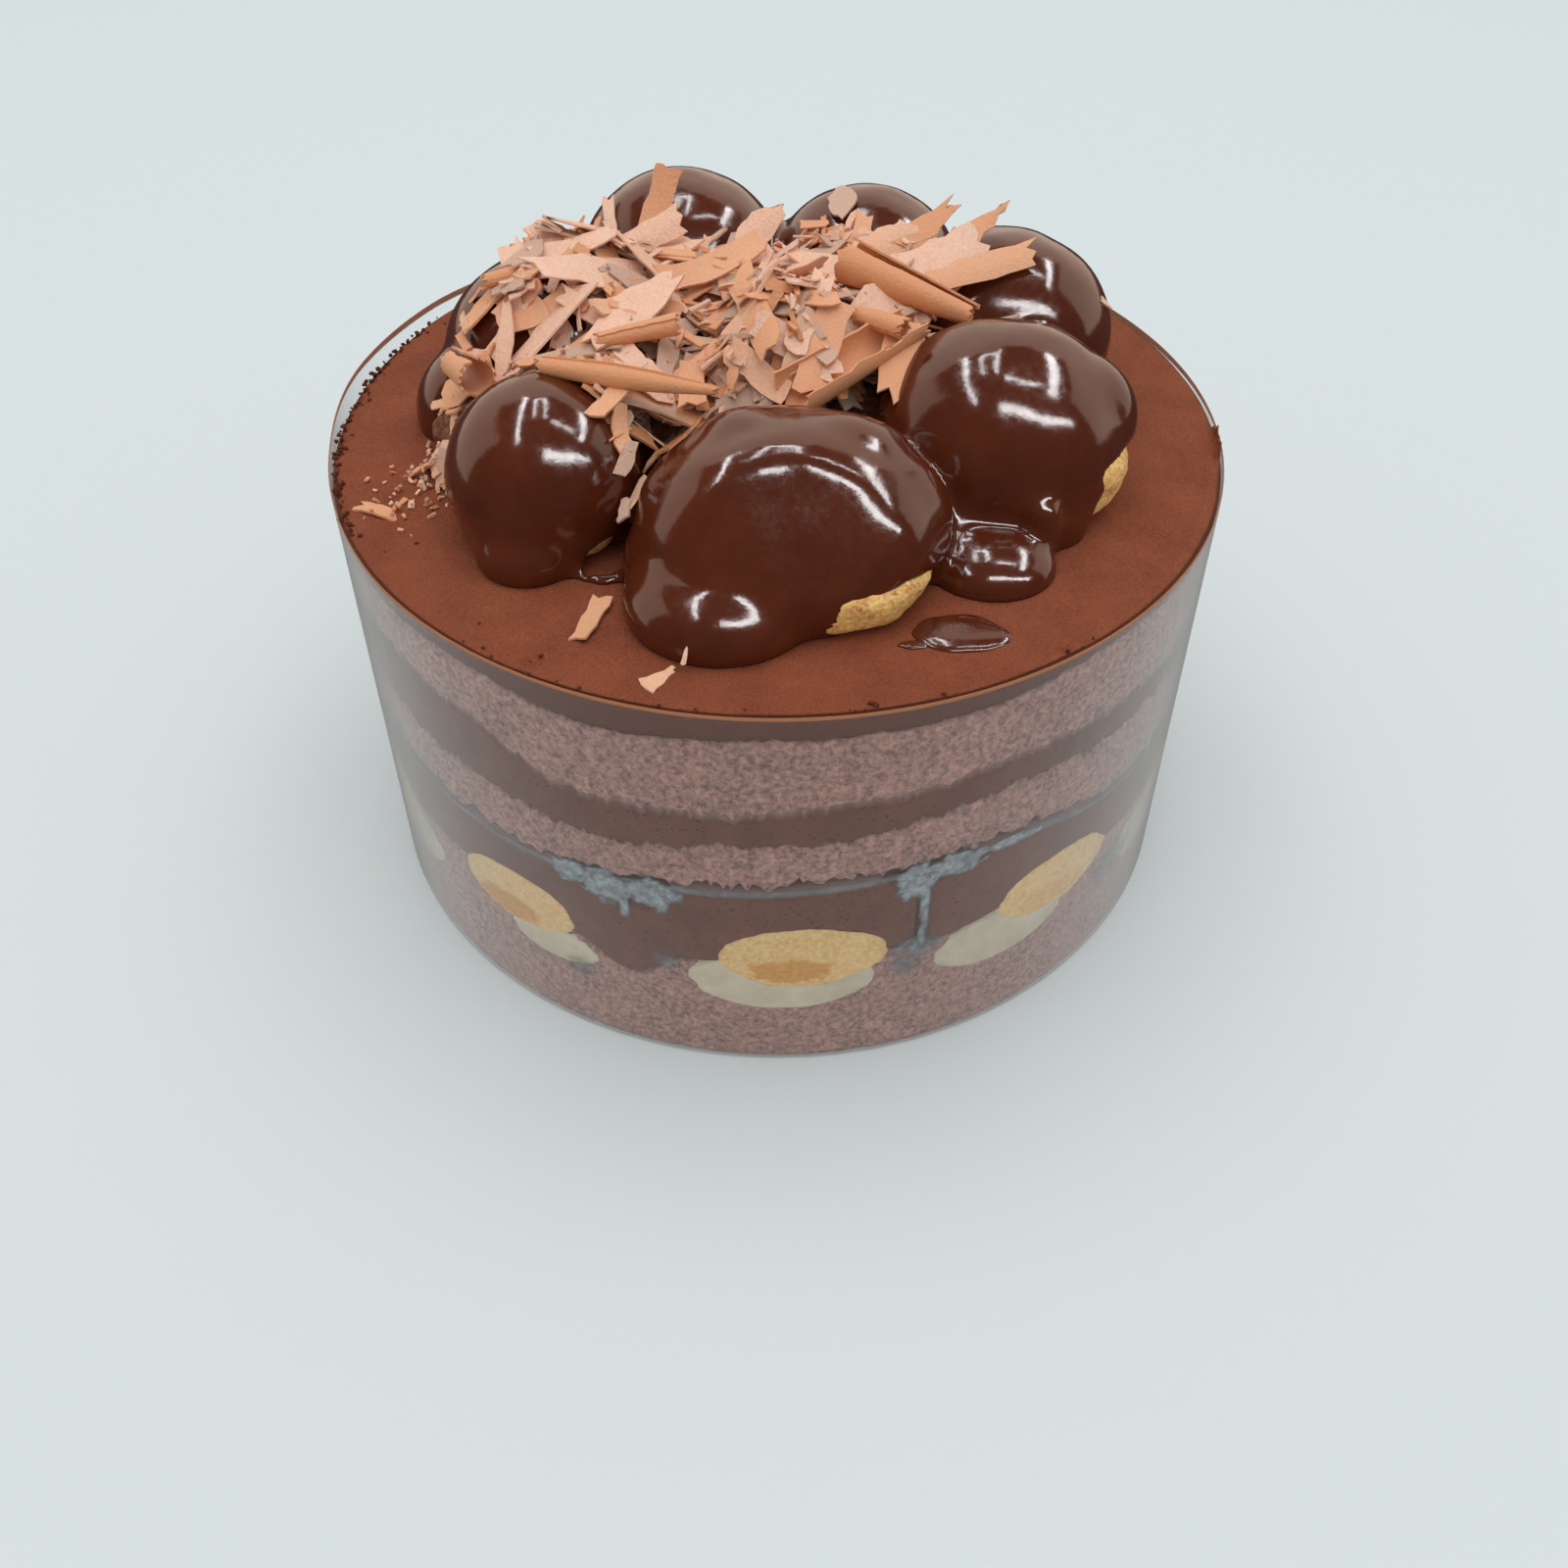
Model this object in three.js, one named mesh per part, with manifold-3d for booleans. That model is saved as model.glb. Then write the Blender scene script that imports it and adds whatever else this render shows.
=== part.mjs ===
// Profiterole cake, 164 mm across and 86 mm to the top of its mousse, in a clear film collar.
//
// Six round layers are stacked: sponge, mousse, sponge, mousse, sponge, mousse. Ten choux puffs, each
// on a lens of its own cream, stand against the film where the base sponge meets the lower mousse.
// Seven larger glazed profiteroles make a ring on top, round a heap of chocolate shavings.
// Millimetres, +Z up. The origin is the middle of the underside, and the front faces -Y. Directions
// round the cake are degrees anticlockwise from +X, seen from above.

import * as THREE from "three";
import { mergeVertices } from "three/addons/utils/BufferGeometryUtils.js";
import Module from "manifold-3d";

const wasm = await Module();
wasm.setup();

// ---------------------------------------------------------------- driving dimensions

const CAKE_RADIUS = 82;
const CAKE_HEIGHT = 86;
const GAP = 0.3; // between any two pieces that touch
const ROUND_STEPS = 48; // flats round the cake

// Heights of the layers' meeting lines at the film, as [direction, height] points.
const TOP_MOUSSE_FOOT = [[-150, 82], [-130, 81.8], [-110, 79], [-90, 80.5], [-70, 81], [-48, 83],
  [-15, 82], [40, 80.5], [100, 82.5], [160, 80]];
const TOP_SPONGE_FOOT = [[-150, 73], [-130, 70.5], [-112, 63.5], [-98, 63.7], [-82, 66], [-60, 68],
  [-30, 66], [20, 64], [75, 68.5], [130, 66]];
const MIDDLE_MOUSSE_FOOT = [[-150, 58], [-130, 56], [-112, 53.5], [-88, 57.2], [-60, 61.5],
  [-40, 60], [0, 57], [60, 59.5], [120, 55.5]];
const MIDDLE_SPONGE_FOOT = [[-150, 47], [-135, 45], [-120, 44], [-100, 46], [-60, 49], [-40, 45],
  [10, 46.5], [70, 48], [140, 45]];
const BASE_SPONGE_TOP = [[-150, 30], [-140, 29.5], [-125, 31], [-116, 25], [-108, 19.5],
  [-101, 26], [-87, 28], [-71, 27.5], [-50, 31], [-38, 30], [-15, 29], [5, 22], [22, 29],
  [60, 27], [78, 21], [95, 29], [135, 26], [165, 30]];
// Air was trapped over the lower mousse here: [direction, half width, how far in, depth] in mm.
const AIR_POCKETS = [[-109, 10, 5, 7], [-71, 8, 4, 4.5], [36, 9, 4, 5], [150, 8, 5, 6]];
// One pocket runs on down through the mousse as a narrow channel against the film.
const CHANNEL = { at: -71, width: 2, depth: 3, foot: 29, top: 43 };

const FILM = { clearance: GAP, thickness: 0.3, foot: 0.6, top: 87.2 };

// Sunken puffs: the ring's middle is SUNKEN_RING from the axis, so the film cuts each one's side.
const SUNKEN_RING = 74;
// Sides are the flats round and from top to bottom.
const SUNKEN_CREAM = { across: 18, deep: 8.2, height: 22.3, sides: [8, 4] };
const SUNKEN_CHOUX = { across: 16.5, deep: 8.8, height: 28, sides: [10, 5] };
// The directions of each one's choux and of its cream, which slid a little, and its size.
const SUNKEN = [
  { choux: -159, cream: -152, size: 0.95 }, { choux: -125, cream: -120, size: 0.95 },
  { choux: -86.5, cream: -88.5, size: 1 }, { choux: -52, cream: -59, size: 1.02 },
  { choux: -17, cream: -25, size: 0.96 }, { choux: 19, cream: 15, size: 1.02 },
  { choux: 56, cream: 59, size: 0.97 }, { choux: 92, cream: 88, size: 1 },
  { choux: 128, cream: 131, size: 0.96 }, { choux: 164, cream: 167, size: 1 },
];

// Top profiteroles: x and y of the middle, half widths over the glaze, how high the glaze stands
// over the mousse, and the height of the widest level. Lobes are glaze that ran or piled up, and
// bare patches are where the glaze stopped short of the foot and the choux shows.
const GLAZE_THICKNESS = 2.2;
const BUNS = [
  { x: 2, y: -43.5, wide: 25.5, deep: 22.5, rise: 27, seat: 8,
    lobes: [{ x: -8, y: -54.5, wide: 17, deep: 17, foot: 2, rise: 11 },
      { x: -15, y: -46, wide: 12, deep: 13, foot: 2, rise: 14 }],
    bare: [{ at: -44, wide: 14, rise: 5.5 }] },
  { x: 39.5, y: -19, wide: 23, deep: 21, rise: 30, seat: 9,
    lobes: [{ x: 36, y: -40.5, wide: 11, deep: 11, foot: 2, rise: 9.5 },
      { x: 48.5, y: -32, wide: 6.5, deep: 8, foot: 2, rise: 13 },
      { x: 53, y: -14, wide: 10.5, deep: 10, foot: 14, rise: 21 }],
    bare: [{ at: -8, wide: 12, rise: 10 }] },
  { x: 42, y: 18.5, wide: 21.5, deep: 19.5, rise: 29, seat: 9,
    lobes: [{ x: 52, y: 24, wide: 12, deep: 12, foot: 2, rise: 14 }], bare: [] },
  { x: 17, y: 40.5, wide: 19.5, deep: 19, rise: 27.5, seat: 8.5,
    lobes: [{ x: 20, y: 51, wide: 11, deep: 10, foot: 2, rise: 12 }], bare: [] },
  { x: -20.5, y: 45, wide: 21, deep: 20, rise: 28.5, seat: 9,
    lobes: [{ x: -27, y: 54, wide: 12, deep: 12, foot: 2, rise: 12 }], bare: [] },
  { x: -42, y: 10.5, wide: 21, deep: 20, rise: 27, seat: 9,
    lobes: [{ x: -57, y: 2, wide: 11, deep: 11, foot: 2, rise: 14 }], bare: [] },
  { x: -39, y: -30.5, wide: 17.5, deep: 18.5, rise: 26.5, seat: 9,
    lobes: [{ x: -41, y: -40, wide: 10, deep: 11.5, foot: 2, rise: 10 },
      { x: -28, y: -43.5, wide: 8, deep: 7, foot: 0, rise: 1.6 }],
    bare: [{ at: -48, wide: 8, rise: 4 }] },
];
const GLAZE_DROP = { x: 29.5, y: -61, wide: 6.5, deep: 4.2, rise: 1.8 };
const GLAZE_SIDES = [16, 8]; // flats round and from top to bottom
const CHOUX_SIDES = [12, 6];
const LOBE_SIDES = [10, 5];

// Shavings: a core between the buns, with flat flakes and rolled curls fused to it.
const HEAP_CORE = [
  { x: -4, y: 2, wide: 34, deep: 30, foot: 5, rise: 25 },
  { x: -42, y: -11, wide: 20, deep: 8.5, foot: 5, rise: 20.5 },
  { x: -30, y: -3, wide: 15, deep: 12, foot: 14, rise: 27.5 },
  { x: -20, y: 23, wide: 15, deep: 11, foot: 14, rise: 27 },
  { x: 22, y: 20, wide: 16, deep: 12, foot: 14, rise: 28.5 },
];
const HEAP_REACH = [[0, 34], [45, 44], [90, 35], [120, 42], [160, 47], [196, 57], [222, 40],
  [242, 43], [258, 28], [300, 24]];
const FLAKES = 50;
// Skew is the part of its width by which a flake's corners are out of square, and the tilts, in
// radians, are about its length and its width.
const FLAKE = { length: [10, 24], width: [4, 8], skew: [-0.15, 0.25], rollTilt: [-0.5, 0.5],
  endTilt: [-0.3, 0.3], thickness: 0.9, lift: 1.5, steepestBed: 0.8 };
const FLAKE_SEED = 7;
// Rolled curls lie from one end to the other: [x, y, height over the mousse].
const CURLS = [
  { from: [-56, -14, 20], to: [-40, -11, 24], radius: 2.6 },
  { from: [-39, -27, 28], to: [-14, -31, 25], radius: 2 },
  { from: [10, 9, 30], to: [32, -6, 29], radius: 3 },
  { from: [4, -25, 24], to: [22, -9, 28], radius: 2.8 },
  { from: [12, 10, 31], to: [38, 24, 31], radius: 2.4 },
];
const CURL_WALL = 0.9;
const CURL_OPENING = 70; // degrees of the round that a curl leaves open
const CURL_STEPS = 5;

// Three flakes fell clear of the heap and lie on the mousse: x, y, heading, length, width.
const FALLEN_FLAKES = [[-69.5, -29, -20, 8, 3], [-29, -59, 75, 11, 3.4], [-17, -73.5, 35, 6, 4]];
// The spatula left a low curled lip of mousse on the right rim.
const RIM_LIP = { at: -4.5, long: 15, thick: 1.6, rise: 3, inset: 1 };

const LIP_SIDES = [8, 6];

// ---------------------------------------------------------------- materials

function finish(colour, roughness) {
  return new THREE.MeshStandardMaterial({ color: colour, roughness, metalness: 0 });
}
const SPONGE = finish(0x8a6660, 0.9);
const MOUSSE = finish(0x5f4038, 0.7);
const TOP_MOUSSE = finish(0x6b3524, 0.75);
const CHOUX = finish(0xc99a4a, 0.8);
const CREAM = finish(0xd8d2bd, 0.6);
const GLAZE = finish(0x4a2419, 0.12);
const SHAVINGS = finish(0xb07a5c, 0.6);
const CLEAR_FILM = new THREE.MeshStandardMaterial({ color: 0xe6eaec, roughness: 0.1, metalness: 0,
  transparent: true, opacity: 0.25 });

// ---------------------------------------------------------------- joining and cutting

function solid(geometry) {
  // A closed three.js mesh, its shared vertices merged, as a solid that can be joined and cut.
  geometry.deleteAttribute("normal");
  geometry.deleteAttribute("uv");
  const merged = mergeVertices(geometry, 1e-4);
  const corners = merged.index.array;
  const triangles = [];
  for (let i = 0; i < corners.length; i += 3) {
    const [a, b, c] = corners.slice(i, i + 3);
    if (a !== b && b !== c && c !== a) triangles.push(a, b, c);
  }
  return new wasm.Manifold(new wasm.Mesh({
    numProp: 3,
    vertProperties: new Float32Array(merged.attributes.position.array),
    triVerts: new Uint32Array(triangles),
  }));
}

function largestPiece(cut) {
  // Drops the loose scraps of a cut and fills the hollows that joining sealed.
  return cut.decompose().sort((a, b) => b.volume() - a.volume())[0];
}

function join(solids) {
  return wasm.Manifold.union(solids);
}

function radians(degrees) {
  return THREE.MathUtils.degToRad(degrees);
}

const cake = new THREE.Group();

function addNode(name, shape, material) {
  const mesh = shape.getMesh();
  const geometry = new THREE.BufferGeometry();
  geometry.setAttribute("position", new THREE.BufferAttribute(mesh.vertProperties, 3));
  geometry.setIndex(new THREE.BufferAttribute(mesh.triVerts, 1));
  geometry.computeVertexNormals();
  const node = new THREE.Mesh(geometry, material);
  node.name = name;
  cake.add(node);
}

// ---------------------------------------------------------------- basic forms

function ellipsoid(at, radii, around, upward) {
  const ball = new THREE.SphereGeometry(1, around, upward);
  ball.rotateX(Math.PI / 2);
  ball.scale(...radii);
  ball.translate(...at);
  return solid(ball);
}

function block(size, at, heading = 0) {
  const box = new THREE.BoxGeometry(...size);
  box.rotateZ(radians(heading));
  box.translate(...at);
  return solid(box);
}

function ringCurve(points) {
  // A smooth height all the way round through [direction, height] points.
  const sorted = [...points].sort((a, b) => a[0] - b[0]);
  const first = sorted[0];
  const wrapped = [...sorted, [first[0] + 360, first[1]]];
  return (direction) => {
    const turned = first[0] + THREE.MathUtils.euclideanModulo(direction - first[0], 360);
    const next = wrapped.findIndex(([at]) => at > turned);
    const [from, low] = wrapped[next - 1];
    const [to, high] = wrapped[next];
    return low + (high - low) * THREE.MathUtils.smoothstep(turned, from, to);
  };
}

function mean(points) {
  return points.reduce((sum, point) => sum + point[1], 0) / points.length;
}

// A layer's upper or lower face: its height at the film, and the level its middle settles to.
function wavyFace(points) {
  return { edge: ringCurve(points), middle: mean(points) };
}

function flatFace(height) {
  return { edge: () => height, middle: height };
}

function layer(lower, upper) {
  // A turned disc whose two faces are then moved to their own heights, half a gap apart from the
  // next layer's.
  const profile = [[0, 0], [CAKE_RADIUS, 0], [CAKE_RADIUS, 1], [0, 1]];
  const disc = new THREE.LatheGeometry(
    profile.map(([radius, height]) => new THREE.Vector2(radius, height)), ROUND_STEPS);
  disc.rotateX(Math.PI / 2);
  const places = disc.attributes.position;
  for (let i = 0; i < places.count; i += 1) {
    const [x, y, z] = [places.getX(i), places.getY(i), places.getZ(i)];
    const face = z > 0.5 ? upper : lower;
    const atEdge = Math.hypot(x, y) > CAKE_RADIUS / 2;
    const direction = THREE.MathUtils.radToDeg(Math.atan2(y, x));
    const height = atEdge ? face.edge(direction) : face.middle;
    places.setZ(i, height);
  }
  return solid(disc);
}

function lowered(face) {
  return { edge: (direction) => face.edge(direction) - GAP / 2, middle: face.middle - GAP / 2 };
}

function raised(face) {
  return { edge: (direction) => face.edge(direction) + GAP / 2, middle: face.middle + GAP / 2 };
}

// ---------------------------------------------------------------- sunken puffs

const cakeBody = layer(flatFace(0), flatFace(CAKE_HEIGHT));

function sunkenShape(form, direction, size, clearance) {
  const across = form.across * size + clearance;
  const deep = form.deep * size + clearance;
  const at = [SUNKEN_RING * Math.cos(radians(direction)), SUNKEN_RING * Math.sin(radians(direction))];
  return ellipsoid([...at, form.height], [across, across, deep], ...form.sides);
}

const puffPockets = [];
SUNKEN.forEach((puff, i) => {
  const choux = sunkenShape(SUNKEN_CHOUX, puff.choux, puff.size, 0);
  const chouxPocket = sunkenShape(SUNKEN_CHOUX, puff.choux, puff.size, GAP);
  const cream = sunkenShape(SUNKEN_CREAM, puff.cream, puff.size, 0);
  const creamPocket = sunkenShape(SUNKEN_CREAM, puff.cream, puff.size, GAP);
  addNode(`sunken_choux_${i + 1}`, largestPiece(choux.intersect(cakeBody)), CHOUX);
  addNode(`sunken_cream_${i + 1}`,
    largestPiece(cream.intersect(cakeBody).subtract(chouxPocket)), CREAM);
  puffPockets.push(chouxPocket, creamPocket);
});

// ---------------------------------------------------------------- layers

const baseTop = wavyFace(BASE_SPONGE_TOP);
const middleSpongeFoot = wavyFace(MIDDLE_SPONGE_FOOT);
const middleMousseFoot = wavyFace(MIDDLE_MOUSSE_FOOT);
const topSpongeFoot = wavyFace(TOP_SPONGE_FOOT);
const topMousseFoot = wavyFace(TOP_MOUSSE_FOOT);

const airPockets = AIR_POCKETS.map(([at, halfWidth, inward, depth]) => {
  const hollow = new THREE.SphereGeometry(1, ...LOBE_SIDES);
  hollow.rotateX(Math.PI / 2);
  hollow.scale(inward, halfWidth, depth);
  hollow.translate(CAKE_RADIUS, 0, middleSpongeFoot.edge(at));
  hollow.rotateZ(radians(at));
  return solid(hollow);
});
const allPockets = join(puffPockets);
const channelHeight = CHANNEL.top - CHANNEL.foot;
const channel = block([CHANNEL.depth * 2, CHANNEL.width, channelHeight],
  [CAKE_RADIUS * Math.cos(radians(CHANNEL.at)), CAKE_RADIUS * Math.sin(radians(CHANNEL.at)),
    CHANNEL.foot + channelHeight / 2], CHANNEL.at);

addNode("base_sponge",
  largestPiece(layer(flatFace(0), lowered(baseTop)).subtract(allPockets)), SPONGE);
addNode("lower_mousse",
  largestPiece(layer(raised(baseTop), lowered(middleSpongeFoot))
    .subtract(join([allPockets, channel, ...airPockets]))),
  MOUSSE);
addNode("middle_sponge", layer(raised(middleSpongeFoot), lowered(middleMousseFoot)), SPONGE);
addNode("middle_mousse", layer(raised(middleMousseFoot), lowered(topSpongeFoot)), MOUSSE);
addNode("top_sponge", layer(raised(topSpongeFoot), lowered(topMousseFoot)), SPONGE);

// ---------------------------------------------------------------- shavings, as single flakes

function flake(length, width, skew) {
  // A flat, uneven four-cornered scrap that narrows to one end, centred on the origin. Its far
  // corners lie a little short of the near ones.
  const [short, shorter] = [0.42 * length, 0.36 * length];
  const outline = new THREE.Shape([
    new THREE.Vector2(-length / 2, -width / 2 + skew),
    new THREE.Vector2(shorter, -width / 2),
    new THREE.Vector2(length / 2, width / 4),
    new THREE.Vector2(-short, width / 2 - skew),
  ]);
  const scrap = new THREE.ExtrudeGeometry(outline, { depth: FLAKE.thickness, bevelEnabled: false });
  scrap.translate(0, 0, -FLAKE.thickness / 2);
  return scrap;
}

function curl({ from, to, radius }) {
  // A rolled shaving: an open ring section drawn from one end to the other.
  const sweep = radians(360 - CURL_OPENING);
  const section = new THREE.Shape();
  for (const [wall, start, step] of [[radius, 0, 1], [radius - CURL_WALL, CURL_STEPS, -1]]) {
    for (let i = 0; i <= CURL_STEPS; i += 1) {
      const turn = ((start + step * i) / CURL_STEPS) * sweep;
      const corner = [wall * Math.cos(turn), wall * Math.sin(turn)];
      if (wall === radius && i === 0) section.moveTo(...corner);
      else section.lineTo(...corner);
    }
  }
  const [start, end] = [from, to].map(([x, y, z]) => new THREE.Vector3(x, y, CAKE_HEIGHT + z));
  const along = new THREE.Vector3().subVectors(end, start);
  const roll = new THREE.ExtrudeGeometry(section, { depth: along.length(), bevelEnabled: false });
  const turn = new THREE.Quaternion().setFromUnitVectors(
    new THREE.Vector3(0, 0, 1), along.normalize());
  roll.applyQuaternion(turn);
  roll.translate(...start.toArray());
  return solid(roll);
}

// ---------------------------------------------------------------- top mousse

const lipRadius = CAKE_RADIUS - RIM_LIP.inset;
const lipCentre = [lipRadius * Math.cos(radians(RIM_LIP.at)),
  lipRadius * Math.sin(radians(RIM_LIP.at)), CAKE_HEIGHT];
const insideTheFilm = layer(flatFace(0), flatFace(2 * CAKE_HEIGHT));
const rimLip = ellipsoid(lipCentre, [RIM_LIP.thick, RIM_LIP.long / 2, RIM_LIP.rise], ...LIP_SIDES)
  .intersect(insideTheFilm);
const fallen = FALLEN_FLAKES.map(([x, y, heading, length, width]) => {
  const scrap = flake(length, width, width * FLAKE.skew[1]);
  scrap.rotateZ(radians(heading));
  scrap.translate(x, y, CAKE_HEIGHT + FLAKE.thickness / 3);
  return solid(scrap);
});
addNode("top_mousse",
  join([layer(raised(topMousseFoot), flatFace(CAKE_HEIGHT)), rimLip, ...fallen]), TOP_MOUSSE);

// ---------------------------------------------------------------- top profiteroles

function bunForm({ x, y, wide, deep, rise, seat }, extra, sides) {
  return ellipsoid([x, y, CAKE_HEIGHT + seat], [wide + extra, deep + extra, rise - seat + extra],
    ...sides);
}

function lobeForm({ x, y, wide, deep, foot, rise }, extra) {
  return ellipsoid([x, y, CAKE_HEIGHT + foot], [wide + extra, deep + extra, rise - foot + extra],
    ...LOBE_SIDES);
}

function reachToward({ wide, deep }, direction) {
  return 1 / Math.hypot(Math.cos(direction) / wide, Math.sin(direction) / deep);
}

function sideOf(bun, other) {
  // A block over everything past the line where the glaze of two neighbours meets.
  const direction = Math.atan2(other.y - bun.y, other.x - bun.x);
  const distance = Math.hypot(other.y - bun.y, other.x - bun.x);
  const own = reachToward(bun, direction);
  const theirs = reachToward(other, direction);
  const line = (distance * own) / (own + theirs) - GAP / 2;
  const size = 2 * CAKE_RADIUS;
  const away = line + size / 2;
  return block([size, size, size],
    [bun.x + away * Math.cos(direction), bun.y + away * Math.sin(direction), CAKE_HEIGHT],
    THREE.MathUtils.radToDeg(direction));
}

const overTheMousse = block([2 * CAKE_RADIUS, 2 * CAKE_RADIUS, CAKE_HEIGHT],
  [0, 0, CAKE_HEIGHT * 1.5 + GAP]);
const glazeClearance = [];
BUNS.forEach((bun, i) => {
  const neighbours = [BUNS[(i + 1) % BUNS.length], BUNS[(i + BUNS.length - 1) % BUNS.length]];
  const beyond = join(neighbours.map((other) => sideOf(bun, other)));
  const choux = bunForm(bun, -GLAZE_THICKNESS, CHOUX_SIDES);
  const chouxHole = bunForm(bun, GAP - GLAZE_THICKNESS, CHOUX_SIDES);
  const patches = bun.bare.map(({ at, wide, rise }) => {
    const reach = reachToward(bun, radians(at));
    return ellipsoid([bun.x + reach * Math.cos(radians(at)), bun.y + reach * Math.sin(radians(at)),
      CAKE_HEIGHT], [wide, wide, rise], ...LOBE_SIDES);
  });
  const coat = join([bunForm(bun, 0, GLAZE_SIDES), ...bun.lobes.map((lobe) => lobeForm(lobe, 0))]);
  const cuts = join([chouxHole, beyond, ...patches]);
  addNode(`choux_${i + 1}`,
    largestPiece(choux.intersect(overTheMousse).subtract(beyond)), CHOUX);
  addNode(`glaze_${i + 1}`, largestPiece(coat.intersect(overTheMousse).subtract(cuts)), GLAZE);
  glazeClearance.push(bunForm(bun, GAP, GLAZE_SIDES),
    ...bun.lobes.map((lobe) => lobeForm(lobe, GAP)));
});

addNode("glaze_drop", ellipsoid([GLAZE_DROP.x, GLAZE_DROP.y, CAKE_HEIGHT + GAP],
  [GLAZE_DROP.wide, GLAZE_DROP.deep, GLAZE_DROP.rise], ...LOBE_SIDES).intersect(overTheMousse),
GLAZE);

// ---------------------------------------------------------------- heap of shavings

function drawFrom(seed) {
  // A repeatable stream of numbers from 0 to 1.
  let state = seed;
  return () => {
    state = (state + 0x6d2b79f5) | 0;
    let mixed = Math.imul(state ^ (state >>> 15), 1 | state);
    mixed = (mixed + Math.imul(mixed ^ (mixed >>> 7), 61 | mixed)) ^ mixed;
    return ((mixed ^ (mixed >>> 14)) >>> 0) / 4294967296;
  };
}

function domeHeight(form, x, y) {
  const inside = 1 - ((x - form.x) / form.wide) ** 2 - ((y - form.y) / form.deep) ** 2;
  const level = form.seat ?? form.foot;
  return inside > 0 ? level + (form.rise - level) * Math.sqrt(inside) : 0;
}

function heapHeight(x, y) {
  // Height over the mousse of what a flake at x, y comes to lie on.
  return Math.max(...[...HEAP_CORE, ...BUNS].map((form) => domeHeight(form, x, y)));
}

const heapReach = ringCurve(HEAP_REACH);
const GOLDEN_TURN = 137.508; // degrees between one flake and the next, which spreads them evenly

function heapFlakes() {
  const draw = drawFrom(FLAKE_SEED);
  const within = ([low, high]) => low + (high - low) * draw();
  const scraps = [];
  for (let i = 0; i < FLAKES; i += 1) {
    const direction = i * GOLDEN_TURN;
    const out = heapReach(direction) * Math.sqrt((i + 0.5) / FLAKES);
    const x = HEAP_CORE[0].x + out * Math.cos(radians(direction));
    const y = HEAP_CORE[0].y + out * Math.sin(radians(direction));
    const height = heapHeight(x, y);
    const slope = [heapHeight(x + 1, y) - height, heapHeight(x, y + 1) - height]
      .map((rise) => THREE.MathUtils.clamp(rise, -FLAKE.steepestBed, FLAKE.steepestBed));
    const lean = new THREE.Vector3(-slope[0], -slope[1], 1).normalize();
    const length = within(FLAKE.length);
    const width = within(FLAKE.width);
    const scrap = flake(length, width, within(FLAKE.skew) * width);
    scrap.rotateX(within(FLAKE.rollTilt));
    scrap.rotateY(within(FLAKE.endTilt));
    scrap.rotateZ(draw() * Math.PI * 2);
    scrap.applyQuaternion(
      new THREE.Quaternion().setFromUnitVectors(new THREE.Vector3(0, 0, 1), lean));
    scrap.translate(x, y, CAKE_HEIGHT + height + FLAKE.lift);
    scraps.push(solid(scrap));
  }
  return scraps;
}

const heapCore = HEAP_CORE.map(({ x, y, wide, deep, foot, rise }) => ellipsoid(
  [x, y, CAKE_HEIGHT + foot], [wide, deep, rise - foot], ...LOBE_SIDES));
addNode("shavings", largestPiece(
  join([...heapCore, ...heapFlakes(), ...CURLS.map(curl)])
    .intersect(overTheMousse).subtract(join(glazeClearance))), SHAVINGS);

// ---------------------------------------------------------------- film collar

const filmInside = CAKE_RADIUS + FILM.clearance;
const filmOutside = filmInside + FILM.thickness;
const filmProfile = [[filmInside, FILM.foot], [filmOutside, FILM.foot], [filmOutside, FILM.top],
  [filmInside, FILM.top], [filmInside, FILM.foot]];
const filmTube = new THREE.LatheGeometry(
  filmProfile.map(([radius, height]) => new THREE.Vector2(radius, height)), ROUND_STEPS);
filmTube.rotateX(Math.PI / 2);
addNode("film_collar", solid(filmTube), CLEAR_FILM);

export default cake;
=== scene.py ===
# Round layer cake in a clear film collar, with seven glazed profiteroles round a heap of chocolate
# shavings. Metres, +Z up. The origin is the middle of the underside, and the front faces -Y.
# Directions round the cake are degrees anticlockwise from +X, seen from above.

import random
from math import atan2, cos, degrees, exp, hypot, pi, radians, sin, sqrt

import bpy
import numpy as np
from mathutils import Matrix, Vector, noise


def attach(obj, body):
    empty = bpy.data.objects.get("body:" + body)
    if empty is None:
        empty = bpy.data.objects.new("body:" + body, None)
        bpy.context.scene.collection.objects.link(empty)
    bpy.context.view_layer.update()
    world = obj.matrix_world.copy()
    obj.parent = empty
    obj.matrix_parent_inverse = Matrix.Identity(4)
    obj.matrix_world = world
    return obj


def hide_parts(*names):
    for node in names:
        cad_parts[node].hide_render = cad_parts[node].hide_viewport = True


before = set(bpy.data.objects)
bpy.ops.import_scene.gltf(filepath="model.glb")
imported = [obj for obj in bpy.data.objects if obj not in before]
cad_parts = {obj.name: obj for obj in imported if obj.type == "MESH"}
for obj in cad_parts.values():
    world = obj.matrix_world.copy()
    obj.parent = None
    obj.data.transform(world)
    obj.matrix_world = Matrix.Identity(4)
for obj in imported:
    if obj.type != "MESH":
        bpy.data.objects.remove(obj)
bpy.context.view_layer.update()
bpy.ops.object.select_all(action="DESELECT")
MM = 0.001


# ------------------------------------------------------------------------------------- camera
# The cake is seen from about 36 cm away and 44 degrees above, a little to the right of its front.

SHOT_PLACE = (5.03, -259.03, 245.23)
SHOT_TURN = (45.63, 0.0, 0.83)

bpy.ops.object.camera_add(
    location=[value * MM for value in SHOT_PLACE],
    rotation=[radians(value) for value in SHOT_TURN],
)
camera = bpy.context.object
camera.data.sensor_width = 36
camera.data.lens = 36.2
camera.data.clip_start = 0.01
bpy.context.scene.camera = camera


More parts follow.
